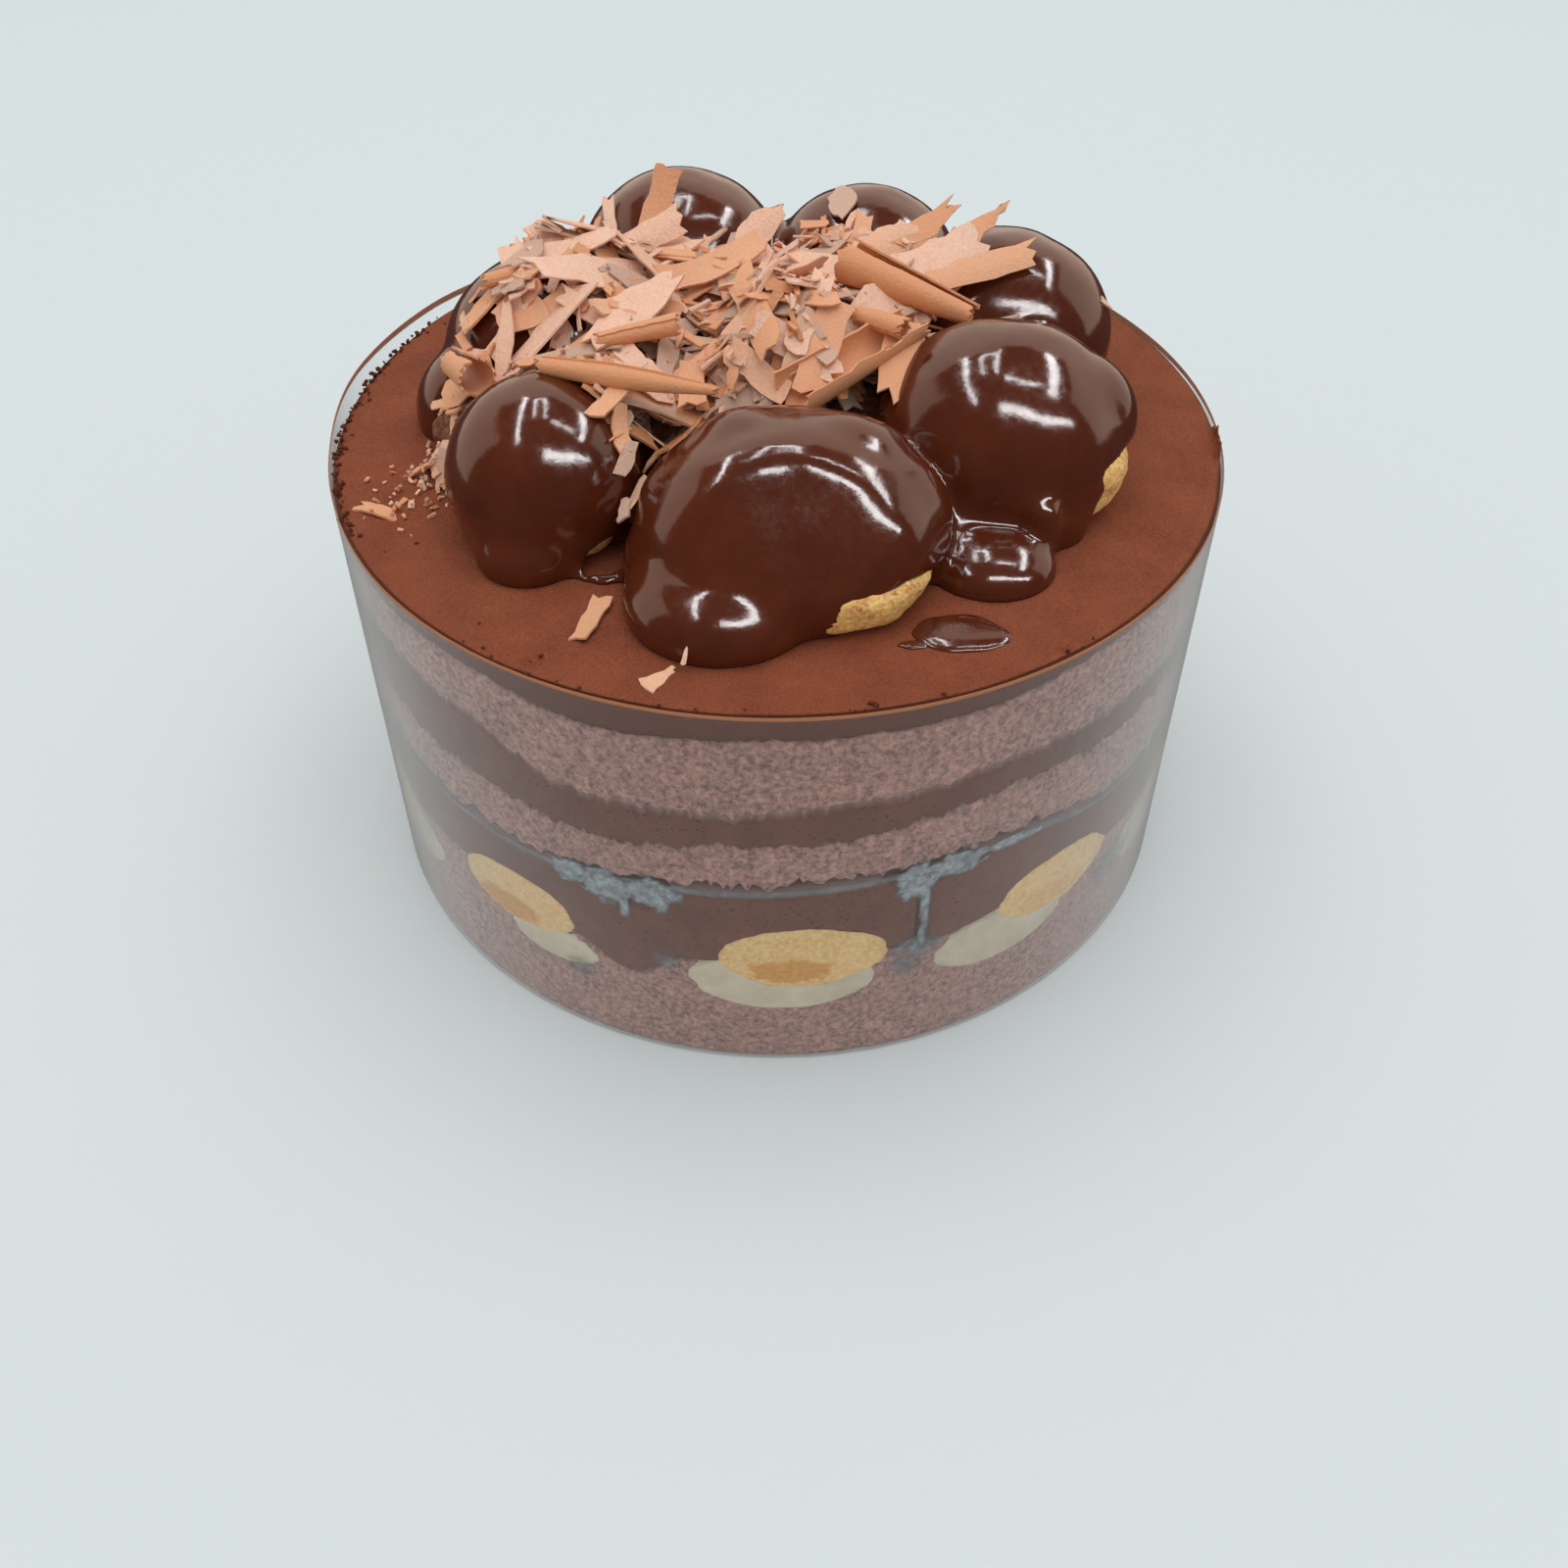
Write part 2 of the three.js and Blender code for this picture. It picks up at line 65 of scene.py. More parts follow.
# ------------------------------------------------------------------------------------- layers
# Six discs of chocolate sponge and mousse, built up inside the film and chilled, so that their
# sides are pressed flat against it. The sponges' edges are torn and crumbly, the mousse's smooth.

RADIUS_MM = 82
CAKE_RADIUS = RADIUS_MM * MM
CAKE_HEIGHT = 86 * MM
ROUND_STEPS = 720
ON_SIDE = 0.9999  # the share of the radius from which a point belongs to the side

# Heights of the layers' meeting lines at the film, as [direction, height in mm].
TOP_MOUSSE_FOOT = [[-150, 82], [-130, 81.8], [-110, 79], [-90, 80.5], [-70, 81], [-48, 83],
                   [-15, 82], [40, 80.5], [100, 82.5], [160, 80]]
TOP_SPONGE_FOOT = [[-150, 73], [-130, 70.5], [-112, 63.5], [-98, 63.7], [-82, 66], [-60, 68],
                   [-30, 66], [20, 64], [75, 68.5], [130, 66]]
MIDDLE_MOUSSE_FOOT = [[-150, 58], [-130, 56], [-112, 53.5], [-88, 57.2], [-60, 61.5], [-40, 60],
                      [0, 57], [60, 59.5], [120, 55.5]]
MIDDLE_SPONGE_FOOT = [[-150, 47], [-135, 45], [-120, 44], [-100, 46], [-60, 49], [-40, 45],
                      [10, 46.5], [70, 48], [140, 45]]
BASE_SPONGE_TOP = [[-150, 30], [-140, 29.5], [-125, 31], [-116, 25], [-108, 19.5], [-101, 26],
                   [-87, 28], [-71, 27.5], [-50, 31], [-38, 30], [-15, 29], [5, 22], [22, 29],
                   [60, 27], [78, 21], [95, 29], [135, 26], [165, 30]]

# Air trapped over the lower mousse: [direction, half width, how far in, depth] in mm, and the
# narrow channel that one pocket sends down through the mousse.
AIR_POCKETS = [[-109, 10, 5, 7], [-71, 8, 4, 4.5], [36, 9, 4, 5], [150, 8, 5, 6]]
CHANNEL = {"at": -71, "half_width": 1.1, "depth": 2.2, "foot": 28, "top": 45}


def smooth_step(value, low, high):
    share = min(max((value - low) / (high - low), 0.0), 1.0)
    return share * share * (3 - 2 * share)


def ring_curve(points):
    """A smooth height in metres, all the way round, through [direction, millimetres] points."""
    ordered = sorted(points)
    ordered.append([ordered[0][0] + 360, ordered[0][1]])

    def height(direction):
        turned = ordered[0][0] + (direction - ordered[0][0]) % 360
        for (start, low), (end, high) in zip(ordered, ordered[1:]):
            if turned <= end:
                return (low + (high - low) * smooth_step(turned, start, end)) * MM
        return ordered[-1][1] * MM

    return height


def rim_point(direction, height=0.0, radius=CAKE_RADIUS):
    turn = radians(direction)
    return Vector((radius * cos(turn), radius * sin(turn), height))


def ripple(place, size):
    """Smooth noise at a place, about -1 to 1, its bumps so many mm apart."""
    return noise.noise(place / (size * MM))


def fade(value, start, full, fading, end):
    """0 outside start and end, 1 from full to fading, and smooth between them."""
    return smooth_step(value, start, full) * (1 - smooth_step(value, fading, end))


def degrees_past(direction, at):
    """How far one direction lies past another, the shorter way round, in degrees."""
    return (direction - at + 180) % 360 - 180


def torn(direction, amount, grain, seed):
    """How far a crumbly edge strays from its line at a direction: clumps and single crumbs."""
    place = rim_point(direction, seed)
    return (0.5 * ripple(place, 3.2 * grain) + 0.6 * ripple(place, 0.9 * grain)) * amount * MM


def layer_edge(points, amount, grain, seed, shift):
    """A meeting line, torn by so many mm, in crumbs of a grain, and moved up by so many mm."""
    line = ring_curve(points)
    middle = sum(height for _, height in points) / len(points) * MM
    return {
        "edge": lambda direction: line(direction) + torn(direction, amount, grain, seed) + shift * MM,
        "middle": middle,
    }


def flat_edge(height):
    return {"edge": lambda direction: height, "middle": height}


def label_points(piece, label, values):
    """Keeps a number for each point of a piece, for its material to read."""
    piece.data.attributes.new(label, "FLOAT", "POINT").data.foreach_set("value", values)


def turned_disc(name, rows, rings):
    """A disc one unit high. Rows are heights of the rings of its side, and rings are the radii,
    as shares, of the rings of its two faces."""
    bpy.ops.mesh.primitive_circle_add(vertices=ROUND_STEPS, radius=CAKE_RADIUS)
    disc = bpy.context.object
    disc.name = name
    bpy.ops.object.mode_set(mode="EDIT")
    bpy.ops.mesh.select_all(action="SELECT")
    for below, above in zip(rows, rows[1:]):
        bpy.ops.mesh.extrude_region_move(TRANSFORM_OT_translate={"value": (0, 0, above - below)})
    close_face(rings, 1.0)
    bpy.ops.object.mode_set(mode="OBJECT")
    for vertex in disc.data.vertices:
        vertex.select = vertex.co.z < 1e-6
    bpy.ops.object.mode_set(mode="EDIT")
    close_face(rings[-2:], 0.0)
    bpy.ops.mesh.select_all(action="SELECT")
    bpy.ops.mesh.normals_make_consistent(inside=False)
    bpy.ops.mesh.select_all(action="DESELECT")
    bpy.ops.object.mode_set(mode="OBJECT")
    return disc


def close_face(rings, height):
    """Closes the selected ring by rings drawn in towards the axis."""
    for outer, inner in zip([1.0, *rings], rings):
        share = inner / outer
        bpy.ops.mesh.extrude_region_move()
        bpy.ops.transform.resize(value=(share, share, 1), center_override=(0, 0, height))
    bpy.ops.mesh.merge(type="CENTER")


def shape_layer(disc, lower, upper, relief, top_relief=None):
    """Moves a turned disc between its two meeting lines and gives its side and top their relief."""
    low, high = {}, {}
    drawn_back, on_film = [], []
    for vertex in disc.data.vertices:
        x, y, level = vertex.co
        radius = hypot(x, y)
        direction = degrees(atan2(y, x))
        key = round(direction * ROUND_STEPS / 360) % ROUND_STEPS
        if key not in low:
            low[key], high[key] = lower["edge"](direction), upper["edge"](direction)
        outward = radius / CAKE_RADIUS
        bottom = lower["middle"] + (low[key] - lower["middle"]) * outward
        top = upper["middle"] + (high[key] - upper["middle"]) * outward
        height = bottom + (top - bottom) * level
        side = outward > ON_SIDE
        to_edge = min(height - bottom, top - height)
        on_film.append(1.0 if side and level < ON_SIDE else 0.0)
        drawn_back.append(1 - smooth_step(to_edge, 0.1 * MM, 0.7 * MM) if side else 0.0)
        if side:
            depth = relief(direction, height, to_edge)
            vertex.co.x *= 1 - depth / CAKE_RADIUS
            vertex.co.y *= 1 - depth / CAKE_RADIUS
        if top_relief and level > 0.999:
            height += top_relief(direction, radius)
        vertex.co.z = height
    label_points(disc, "drawn_back", drawn_back)
    label_points(disc, "on_film", on_film)
    disc.data.shade_smooth()


def sponge_relief(direction, height, to_edge):
    """Pores and torn crumbs of a pressed sponge side, in metres inwards."""
    place = rim_point(direction, height)
    pores = ripple(place, 1.3) + 0.5 * ripple(place, 0.7)
    pits = max(0.0, pores - 0.2) * 0.9
    worn = 0.5 * (1 - smooth_step(to_edge, 0, 0.8 * MM))
    return (pits + worn) * MM


def mousse_relief(direction, height, to_edge):
    """A mousse side is smooth, with soft rounded edges where it draws away from the film."""
    rounded = 0.7 * (1 - smooth_step(to_edge, 0, 0.9 * MM))
    wave = 0.05 * noise.noise(rim_point(direction, height) / (4 * MM))
    return (rounded + max(0.0, wave)) * MM


def lower_mousse_relief(direction, height, to_edge):
    """The lower mousse also has the air pockets under the sponge and the channel below one."""
    hollow = 0.0
    for at, half_width, inward, depth in AIR_POCKETS:
        across = radians(degrees_past(direction, at)) * CAKE_RADIUS
        down = height - ring_curve(MIDDLE_SPONGE_FOOT)(at)
        reach = 1 - (across / (half_width * MM)) ** 2 - (down / (depth * MM)) ** 2
        if reach > 0:
            hollow = max(hollow, inward * sqrt(reach))
    across = radians(direction - CHANNEL["at"]) * CAKE_RADIUS / MM
    across += 0.5 * noise.noise(Vector((0, 0, height / (4 * MM))))
    if CHANNEL["foot"] * MM < height < CHANNEL["top"] * MM:
        width = CHANNEL["half_width"] * (1 + 0.3 * noise.noise(Vector((7, 0, height / (3 * MM)))))
        hollow = max(hollow, CHANNEL["depth"] * (1 - smooth_step(abs(across), width * 0.6, width)))
    return hollow * MM + mousse_relief(direction, height, to_edge)


EDGE_ROWS = 0.02, 0.05
HIDDEN_RINGS = [0.96, 0.5]


def even_rows(count):
    """Ring heights up a side, closer together by its two edges."""
    near, next_row = EDGE_ROWS
    inner = [next_row + (1 - 2 * next_row) * i / count for i in range(1, count)]
    return [0, near, next_row, *inner, 1 - next_row, 1 - near, 1]


# Each layer's lower and upper meeting lines, the relief of its side, and how many rows it has. Two
# layers that meet share a line, a little apart, so that a thin line of air shows between them.
layer_plan = {
    "base_sponge": [flat_edge(0), layer_edge(BASE_SPONGE_TOP, 0.7, 1.4, 1, -0.15), sponge_relief, 26],
    "lower_mousse": [layer_edge(BASE_SPONGE_TOP, 0.5, 3, 2, 0.15),
                     layer_edge(MIDDLE_SPONGE_FOOT, 0.5, 3, 3, -0.25), lower_mousse_relief, 30],
    "middle_sponge": [layer_edge(MIDDLE_SPONGE_FOOT, 2.8, 1, 4, 0.7),
                      layer_edge(MIDDLE_MOUSSE_FOOT, 2.3, 1, 5, -0.05), sponge_relief, 16],
    "middle_mousse": [layer_edge(MIDDLE_MOUSSE_FOOT, 2.3, 1, 5, 0.05),
                      layer_edge(TOP_SPONGE_FOOT, 2.3, 1, 6, -0.05), mousse_relief, 14],
    "top_sponge": [layer_edge(TOP_SPONGE_FOOT, 2.3, 1, 6, 0.05),
                   layer_edge(TOP_MOUSSE_FOOT, 0.9, 1.6, 7, -0.05), sponge_relief, 20],
}
layers = {}
for name, (lower, upper, relief, rows) in layer_plan.items():
    disc = turned_disc(name + "_layer", even_rows(rows), HIDDEN_RINGS)
    shape_layer(disc, lower, upper, relief)
    layers[name] = disc


def paint(red, green, blue):
    """A colour given as it is seen on a screen, 0 to 255, as a socket takes it."""
    shares = [value / 255 for value in (red, green, blue)]
    return [*[s / 12.92 if s <= 0.04045 else ((s + 0.055) / 1.055) ** 2.4 for s in shares], 1]


def set_inputs(tree, node, inputs):
    """Sets a node's inputs to values, or joins them to other sockets."""
    for label, value in inputs.items():
        if isinstance(value, bpy.types.NodeSocket):
            tree.links.new(value, node.inputs[label])
        else:
            node.inputs[label].default_value = value


def add_node(tree, kind, inputs=None, **settings):
    node = tree.nodes.new(kind)
    for setting, value in settings.items():
        setattr(node, setting, value)
    set_inputs(tree, node, inputs or {})
    return node


def new_material(name):
    material = bpy.data.materials.new(name)
    material.use_nodes = True
    tree = material.node_tree
    return material, tree, tree.nodes["Principled BSDF"]


def mix_colours(tree, share, first, second):
    """A colour between two, each a socket or a plain colour."""
    mixer = add_node(tree, "ShaderNodeMix", {0: share, 6: first, 7: second}, data_type="RGBA")
    return mixer.outputs[2]


def calculate(tree, operation, first, second):
    node = add_node(tree, "ShaderNodeMath", {0: first, 1: second}, operation=operation)
    return node.outputs[0]


def map_range(tree, value, limits):
    """A value mapped from one range to another, 0 to 1 where the limits don't say."""
    return add_node(tree, "ShaderNodeMapRange", {"Value": value, **limits}).outputs[0]


def point_label(tree, label):
    return add_node(tree, "ShaderNodeAttribute", attribute_name=label).outputs["Fac"]


def bumped(tree, height, strength, depth):
    """A normal raised by a mask, up to so many mm."""
    inputs = {"Height": height, "Strength": strength, "Distance": depth * MM}
    return add_node(tree, "ShaderNodeBump", inputs).outputs[0]


def set_surface(tree, surface, colour, roughness, specular, **others):
    """Gives a surface its colour and gloss, and others of its inputs, such as Normal."""
    set_inputs(tree, surface, {"Base Color": colour, "Roughness": roughness,
                               "Specular IOR Level": specular})
    set_inputs(tree, surface, {label.replace("_", " "): value for label, value in others.items()})


# Crumb: a fine mask of grains and a softer one of clumps, from the piece's own place.
crumb_group = bpy.data.node_groups.new("crumb_grain", "ShaderNodeTree")
for size, mask in (("Grain size", "Grains"), ("Clump size", "Clumps")):
    crumb_group.interface.new_socket(size, in_out="INPUT", socket_type="NodeSocketFloat")
    crumb_group.interface.new_socket(mask, in_out="OUTPUT", socket_type="NodeSocketFloat")
crumb_in = crumb_group.nodes.new("NodeGroupInput")
crumb_out = crumb_group.nodes.new("NodeGroupOutput")
crumb_place = add_node(crumb_group, "ShaderNodeTexCoord").outputs["Object"]
for size, detail, mask in (("Grain size", 2.5, "Grains"), ("Clump size", 3.0, "Clumps")):
    per_metre = calculate(crumb_group, "DIVIDE", 1 / MM, crumb_in.outputs[size])
    blotches = add_node(crumb_group, "ShaderNodeTexNoise", {"Vector": crumb_place, "Scale": per_metre,
                                                            "Detail": detail, "Roughness": 0.72})
    spread = map_range(crumb_group, blotches.outputs["Fac"], {"From Min": 0.32, "From Max": 0.68})
    crumb_group.links.new(spread, crumb_out.inputs[mask])


def crumb_masks(tree, grain_size, clump_size):
    """The masks of grains and of clumps, at their sizes in mm."""
    inputs = {"Grain size": grain_size, "Clump size": clump_size}
    masks = add_node(tree, "ShaderNodeGroup", inputs, node_tree=crumb_group)
    return masks.outputs["Grains"], masks.outputs["Clumps"]


def sponge_material():
    """Chocolate sponge: pale mauve-brown crumb, with painted shade as dark grains in the pores between."""
    material, tree, surface = new_material("chocolate_sponge")
    grains, clumps = crumb_masks(tree, 1.15, 6.0)
    # The dark grains are painted shade in the pores; the paler grains and the clumps are the crumb's own
    # tones.
    shade = mix_colours(tree, grains, paint(97, 68, 63), paint(213, 163, 148))
    cloud = mix_colours(tree, clumps, paint(132, 106, 103), paint(186, 142, 129))
    set_surface(tree, surface, mix_colours(tree, 0.35, shade, cloud), 0.85, 0.05,
                Normal=bumped(tree, grains, 0.45, 0.4))
    return material


def mousse_material():
    """Set chocolate mousse behind the film: even dull brown with small pinholes in rows, painted as dark
    dots of shade, and a pale line of painted reflection where its edge draws back from the film."""
    material, tree, surface = new_material("chocolate_mousse")
    place = add_node(tree, "ShaderNodeTexCoord").outputs["Object"]
    flattened = add_node(tree, "ShaderNodeMapping", {"Vector": place, "Scale": (1, 1, 2.2)})
    # Pinholes in rows: their dark dots are painted shade.
    cells = add_node(tree, "ShaderNodeTexVoronoi",
                     {"Vector": flattened.outputs[0], "Scale": 0.58 / MM, "Randomness": 1.0})
    holes = map_range(tree, cells.outputs["Distance"], {"From Min": 0.14, "From Max": 0.22})
    grains, clumps = crumb_masks(tree, 1.1, 9.0)
    even = mix_colours(tree, clumps, paint(106, 64, 51), paint(120, 75, 60))
    pinhole_shaded = mix_colours(tree, holes, paint(54, 32, 26), even)
    # The pale line where the edge draws back from the film is painted reflection of the film over the air
    # there.
    painted_reflection_line = calculate(tree, "MULTIPLY", point_label(tree, "drawn_back"), 0.55)
    set_surface(tree, surface, mix_colours(tree, painted_reflection_line, pinhole_shaded, paint(176, 152, 146)), 0.7, 0.03,
                Normal=bumped(tree, grains, 0.1, 0.15))
    return material


def finish_piece(piece, material, slot_name, *nodes):
    """Dresses a piece, lets it ride on the cake's one body, and lets it stand for its nodes."""
    piece.data.materials.clear()
    piece.data.materials.append(material)
    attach(piece, "root")
    if nodes:
        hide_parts(*nodes)


SPONGE = sponge_material()
MOUSSE = mousse_material()
for name, disc in layers.items():
    sponge = name.endswith("sponge")
    finish_piece(disc, SPONGE if sponge else MOUSSE, "sponge" if sponge else "mousse", name)


# ------------------------------------------------------------------------------- top mousse
# The last mousse was spread level with the film and dusted by the cold to a fine suede. The
# spatula left a shallow ridge and a curled lip on the right rim, and a few pits and crumbs.

RIM_RIDGE = {"from": -36, "to": 2, "inset": 2.1, "half_width": 0.7, "rise": 0.45}
RIM_LIP = {"at": -4.5, "half_angle": 5.4, "inset": 1.5, "rise": 3.6}
# Small pits: x, y, radius, depth in mm.
PITS = [[46.5, -65, 1.7, 0.8], [49.5, -63, 1.0, 0.5], [43.5, -67, 0.8, 0.4], [-37, -69, 2.0, 0.9],
        [-34.5, -66.5, 1.2, 0.7], [-61, -38, 0.9, 0.4], [52, 60, 1.1, 0.5], [-50, 58, 1.4, 0.6],
        [74, 14, 1.0, 0.5], [-2, -79, 0.8, 0.5], [-13, -77, 0.7, 0.4]]
# Strokes where the spatula dragged: the two ends' x and y, and depth in mm.
STROKES = [[-63, -40, -50, -44, 0.25], [60, 8, 76, 2, 0.2], [-70, 26, -58, 42, 0.25]]
TORN_RIM = {"from": 152, "to": 206, "depth": 1.4}


def top_relief(direction, radius):
    place = rim_point(direction, 0, radius)
    height = 0.22 * ripple(place, 17) + 0.06 * ripple(place, 3.5)
    for x, y, wide, depth in PITS:
        away = hypot(place.x / MM - x, place.y / MM - y)
        height -= depth * (1 - smooth_step(away, 0.2 * wide, wide))
        height += 0.3 * depth * exp(-(((away - 1.2 * wide) / (0.35 * wide)) ** 2))
    for x0, y0, x1, y1, depth in STROKES:
        start, end = Vector((x0, y0, 0)), Vector((x1, y1, 0))
        spot = place / MM
        share = min(max((spot - start).dot(end - start) / (end - start).length_squared, 0), 1)
        away = (spot - start.lerp(end, share)).length
        height -= depth * exp(-((away / 0.6) ** 2))
    inset = (CAKE_RADIUS - radius) / MM
    if RIM_RIDGE["from"] < direction < RIM_RIDGE["to"]:
        ends = fade(direction, RIM_RIDGE["from"], RIM_RIDGE["from"] + 6,
                    RIM_RIDGE["to"] - 4, RIM_RIDGE["to"])
        line = RIM_RIDGE["inset"] + 0.5 * ripple(place, 8)
        height += RIM_RIDGE["rise"] * ends * exp(-(((inset - line) / RIM_RIDGE["half_width"]) ** 2))
    lip = 1 - abs(direction - RIM_LIP["at"]) / RIM_LIP["half_angle"]
    if lip > 0 and inset < RIM_LIP["inset"]:
        crest = smooth_step(lip, 0, 0.6) * (0.75 + 0.5 * ripple(place, 1.6))
        height += RIM_LIP["rise"] * crest * (1 - smooth_step(inset, 0.5, RIM_LIP["inset"]))
    turned = direction % 360
    if TORN_RIM["from"] < turned < TORN_RIM["to"]:
        ends = fade(turned, TORN_RIM["from"], TORN_RIM["from"] + 8, TORN_RIM["to"] - 8, TORN_RIM["to"])
        bite = max(0.0, 0.45 + ripple(place, 1.5) + 0.4 * ripple(place, 4))
        height -= TORN_RIM["depth"] * ends * bite * (1 - smooth_step(inset, 0.4, 2.0))
    rounded = 0.35 * (1 - smooth_step(inset, 0, 0.6))
    return (height - rounded) * MM


FINE_RINGS = [1 - step * 0.45 * MM / CAKE_RADIUS for step in range(1, 7)]
WIDE_RINGS = [FINE_RINGS[-1] - step * 1.0 * MM / CAKE_RADIUS for step in range(1, 34)]
CENTRE_RINGS = [0.45, 0.3, 0.15]
top_disc = turned_disc("top_mousse_layer", even_rows(6), [*FINE_RINGS, *WIDE_RINGS, *CENTRE_RINGS])
shape_layer(top_disc, layer_edge(TOP_MOUSSE_FOOT, 0.9, 1.6, 7, 0.05), flat_edge(CAKE_HEIGHT),
            mousse_relief, top_relief)


def top_mousse_material():
    """Spread mousse: reddish brown, matt and finely grained, and duller where it met the film."""
    material, tree, surface = new_material("spread_mousse")
    grains, clumps = crumb_masks(tree, 0.42, 14.0)
    fine = mix_colours(tree, grains, paint(108, 53, 34), paint(160, 89, 61))
    broad = mix_colours(tree, clumps, paint(117, 60, 41), paint(150, 83, 56))
    spread = mix_colours(tree, 0.5, fine, broad)
    colour = mix_colours(tree, point_label(tree, "on_film"), spread, paint(106, 64, 51))
    set_surface(tree, surface, colour, 0.85, 0.06, Normal=bumped(tree, grains, 0.55, 0.22))
    return material


finish_piece(top_disc, top_mousse_material(), "top_mousse", "top_mousse")


# ------------------------------------------------------------------------------ sunken puffs
# Ten small choux puffs, each on a spoonful of custard cream, were set round the base sponge
# against the film, and the lower mousse was piped over them. The film has flattened their sides.

SUNKEN_RING = 74
SUNKEN_CREAM = {"across": 18, "deep": 8.2, "height": 22.3, "press": 0.12}
SUNKEN_CHOUX = {"across": 16.5, "deep": 8.8, "height": 28, "press": 0.18}
# Where a puff has soaked on the film, from its middle, in mm.
STAIN = {"aside": 2.2, "half_width": 8.5, "below": 3.4, "half_height": 3.6}
# For each: direction, size and rise in mm of its choux, how much of the choux has soaked, then
# direction, size and rise of its cream, which slid a little.
SUNKEN = [[-159, 0.95, 0, 0.8, -152, 0.95, 0], [-125, 0.9, 0.5, 1, -119.5, 0.68, -1.6],
          [-86, 1, 0.8, 1, -88.5, 1, 0], [-50.5, 0.92, 2.6, 0.35, -59, 0.88, 0.8],
          [-17, 0.96, 0, 0.8, -25, 0.96, 0], [19, 1.02, 0, 0.5, 15, 1, 0], [56, 0.97, 0, 1, 59, 0.97, 0],
          [92, 1, 0, 0.4, 88, 1, 0], [128, 0.96, 0, 0.9, 131, 0.96, 0], [164, 1, 0, 0.7, 167, 1, 0]]


def sunken_shape(name, form, direction, size, rise, waviness, seed, soak=0.0):
    """A flattened ball whose side is pressed flat on the film, with how far it has soaked there."""
    middle = rim_point(direction, (form["height"] + rise) * MM, SUNKEN_RING * MM)
    bpy.ops.mesh.primitive_uv_sphere_add(segments=80, ring_count=56, radius=1)
    ball = bpy.context.object
    ball.name = name
    wall = CAKE_RADIUS + form["press"] * MM
    soaked = []
    across, deep = form["across"] * size * MM, form["deep"] * size * MM
    for vertex in ball.data.vertices:
        swell = 1 + waviness * noise.noise(vertex.co * 2.2 + Vector((seed, 0, 0)))
        swell += 0.4 * waviness * noise.noise(vertex.co * 7 + Vector((0, seed, 0)))
        place = middle + Vector((vertex.co.x * across, vertex.co.y * across, vertex.co.z * deep)) * swell
        reach = hypot(place.x, place.y)
        aside = radians(degrees_past(degrees(atan2(place.y, place.x)), direction))
        away = hypot((aside * RADIUS_MM + STAIN["aside"]) / STAIN["half_width"],
                          ((place.z - middle.z) / MM + STAIN["below"]) / STAIN["half_height"])
        away += 0.3 * ripple(place, 2.5) + 0.15 * ripple(place, 0.9)
        soaked.append(soak * (1 - smooth_step(away, 0.72, 1.0)) if reach > wall else 0.0)
        if reach > wall:
            place.x *= wall / reach
            place.y *= wall / reach
        vertex.co = place
    label_points(ball, "soaked", soaked)
    ball.data.shade_smooth()
    return ball


def choux_colours(tree, pale, golden, brown):
    """Baked choux: golden, with browner blisters and pale cracks."""
    grains, clumps = crumb_masks(tree, 1.0, 4.5)
    blister = mix_colours(tree, clumps, golden, brown)
    return mix_colours(tree, grains, blister, pale), grains


def sunken_choux_material():
    """Choux behind the film, a darker orange where it has soaked."""
    material, tree, surface = new_material("sunken_choux")
    dry, grains = choux_colours(tree, paint(240, 206, 148), paint(230, 186, 122), paint(214, 160, 92))
    wet = mix_colours(tree, grains, paint(204, 140, 62), paint(226, 166, 88))
    set_surface(tree, surface, mix_colours(tree, point_label(tree, "soaked"), dry, wet), 0.6, 0.15)
    return material


def cream_material():
    """Custard cream, pale and smooth, with faint swirls."""
    material, tree, surface = new_material("custard_cream")
    _, clumps = crumb_masks(tree, 2.5, 7.0)
    set_surface(tree, surface, mix_colours(tree, clumps, paint(198, 182, 156), paint(220, 205, 180)),
                0.45, 0.2, Subsurface_Weight=0.15, Subsurface_Scale=1.5 * MM)
    return material


WET_CHOUX = sunken_choux_material()
CREAM = cream_material()
for i, (choux_at, choux_size, choux_rise, soak, cream_at, cream_size, cream_rise) in enumerate(SUNKEN, 1):
    puff = sunken_shape(f"sunken_puff_{i}", SUNKEN_CHOUX, choux_at, choux_size, choux_rise, 0.05, i, soak)
    finish_piece(puff, WET_CHOUX, "choux", f"sunken_choux_{i}")
    spoonful = sunken_shape(f"sunken_custard_{i}", SUNKEN_CREAM, cream_at, cream_size, cream_rise, 0.035,
                            i + 20)
    finish_piece(spoonful, CREAM, "cream", f"sunken_cream_{i}")


# ------------------------------------------------------------------------- top profiteroles
# Seven baked choux buns stand in a ring on the mousse. Only where the glaze stopped short of the
# foot does their golden crust show.

# x and y of the middle, half widths over the glaze, how high the glaze stands over the mousse,
# and the height of the widest level, in mm.
BUNS = [[3, -43.5, 26, 22.5, 26.3, 8], [39, -19, 22.5, 21, 30, 9], [42, 18.5, 21.5, 19.5, 29, 9],
        [17, 40.5, 19.5, 19, 27.5, 8.5], [-19.8, 45, 21, 20, 28.5, 9], [-41.5, 10.5, 21, 20, 27.8, 9],
        [-38.7, -30.5, 17, 18.2, 26.3, 9]]
GLAZE_THICKNESS = 2.2
# Where the choux swells out past the glaze: direction round the bun, half width in degrees, how
# far out, and its lowest and highest level, in mm.
FOOT_SWELLS = {1: [-48, 34, 3.6, -1, 9], 2: [-25, 26, 3.0, 1, 14], 7: [-40, 24, 1.5, -1, 7]}


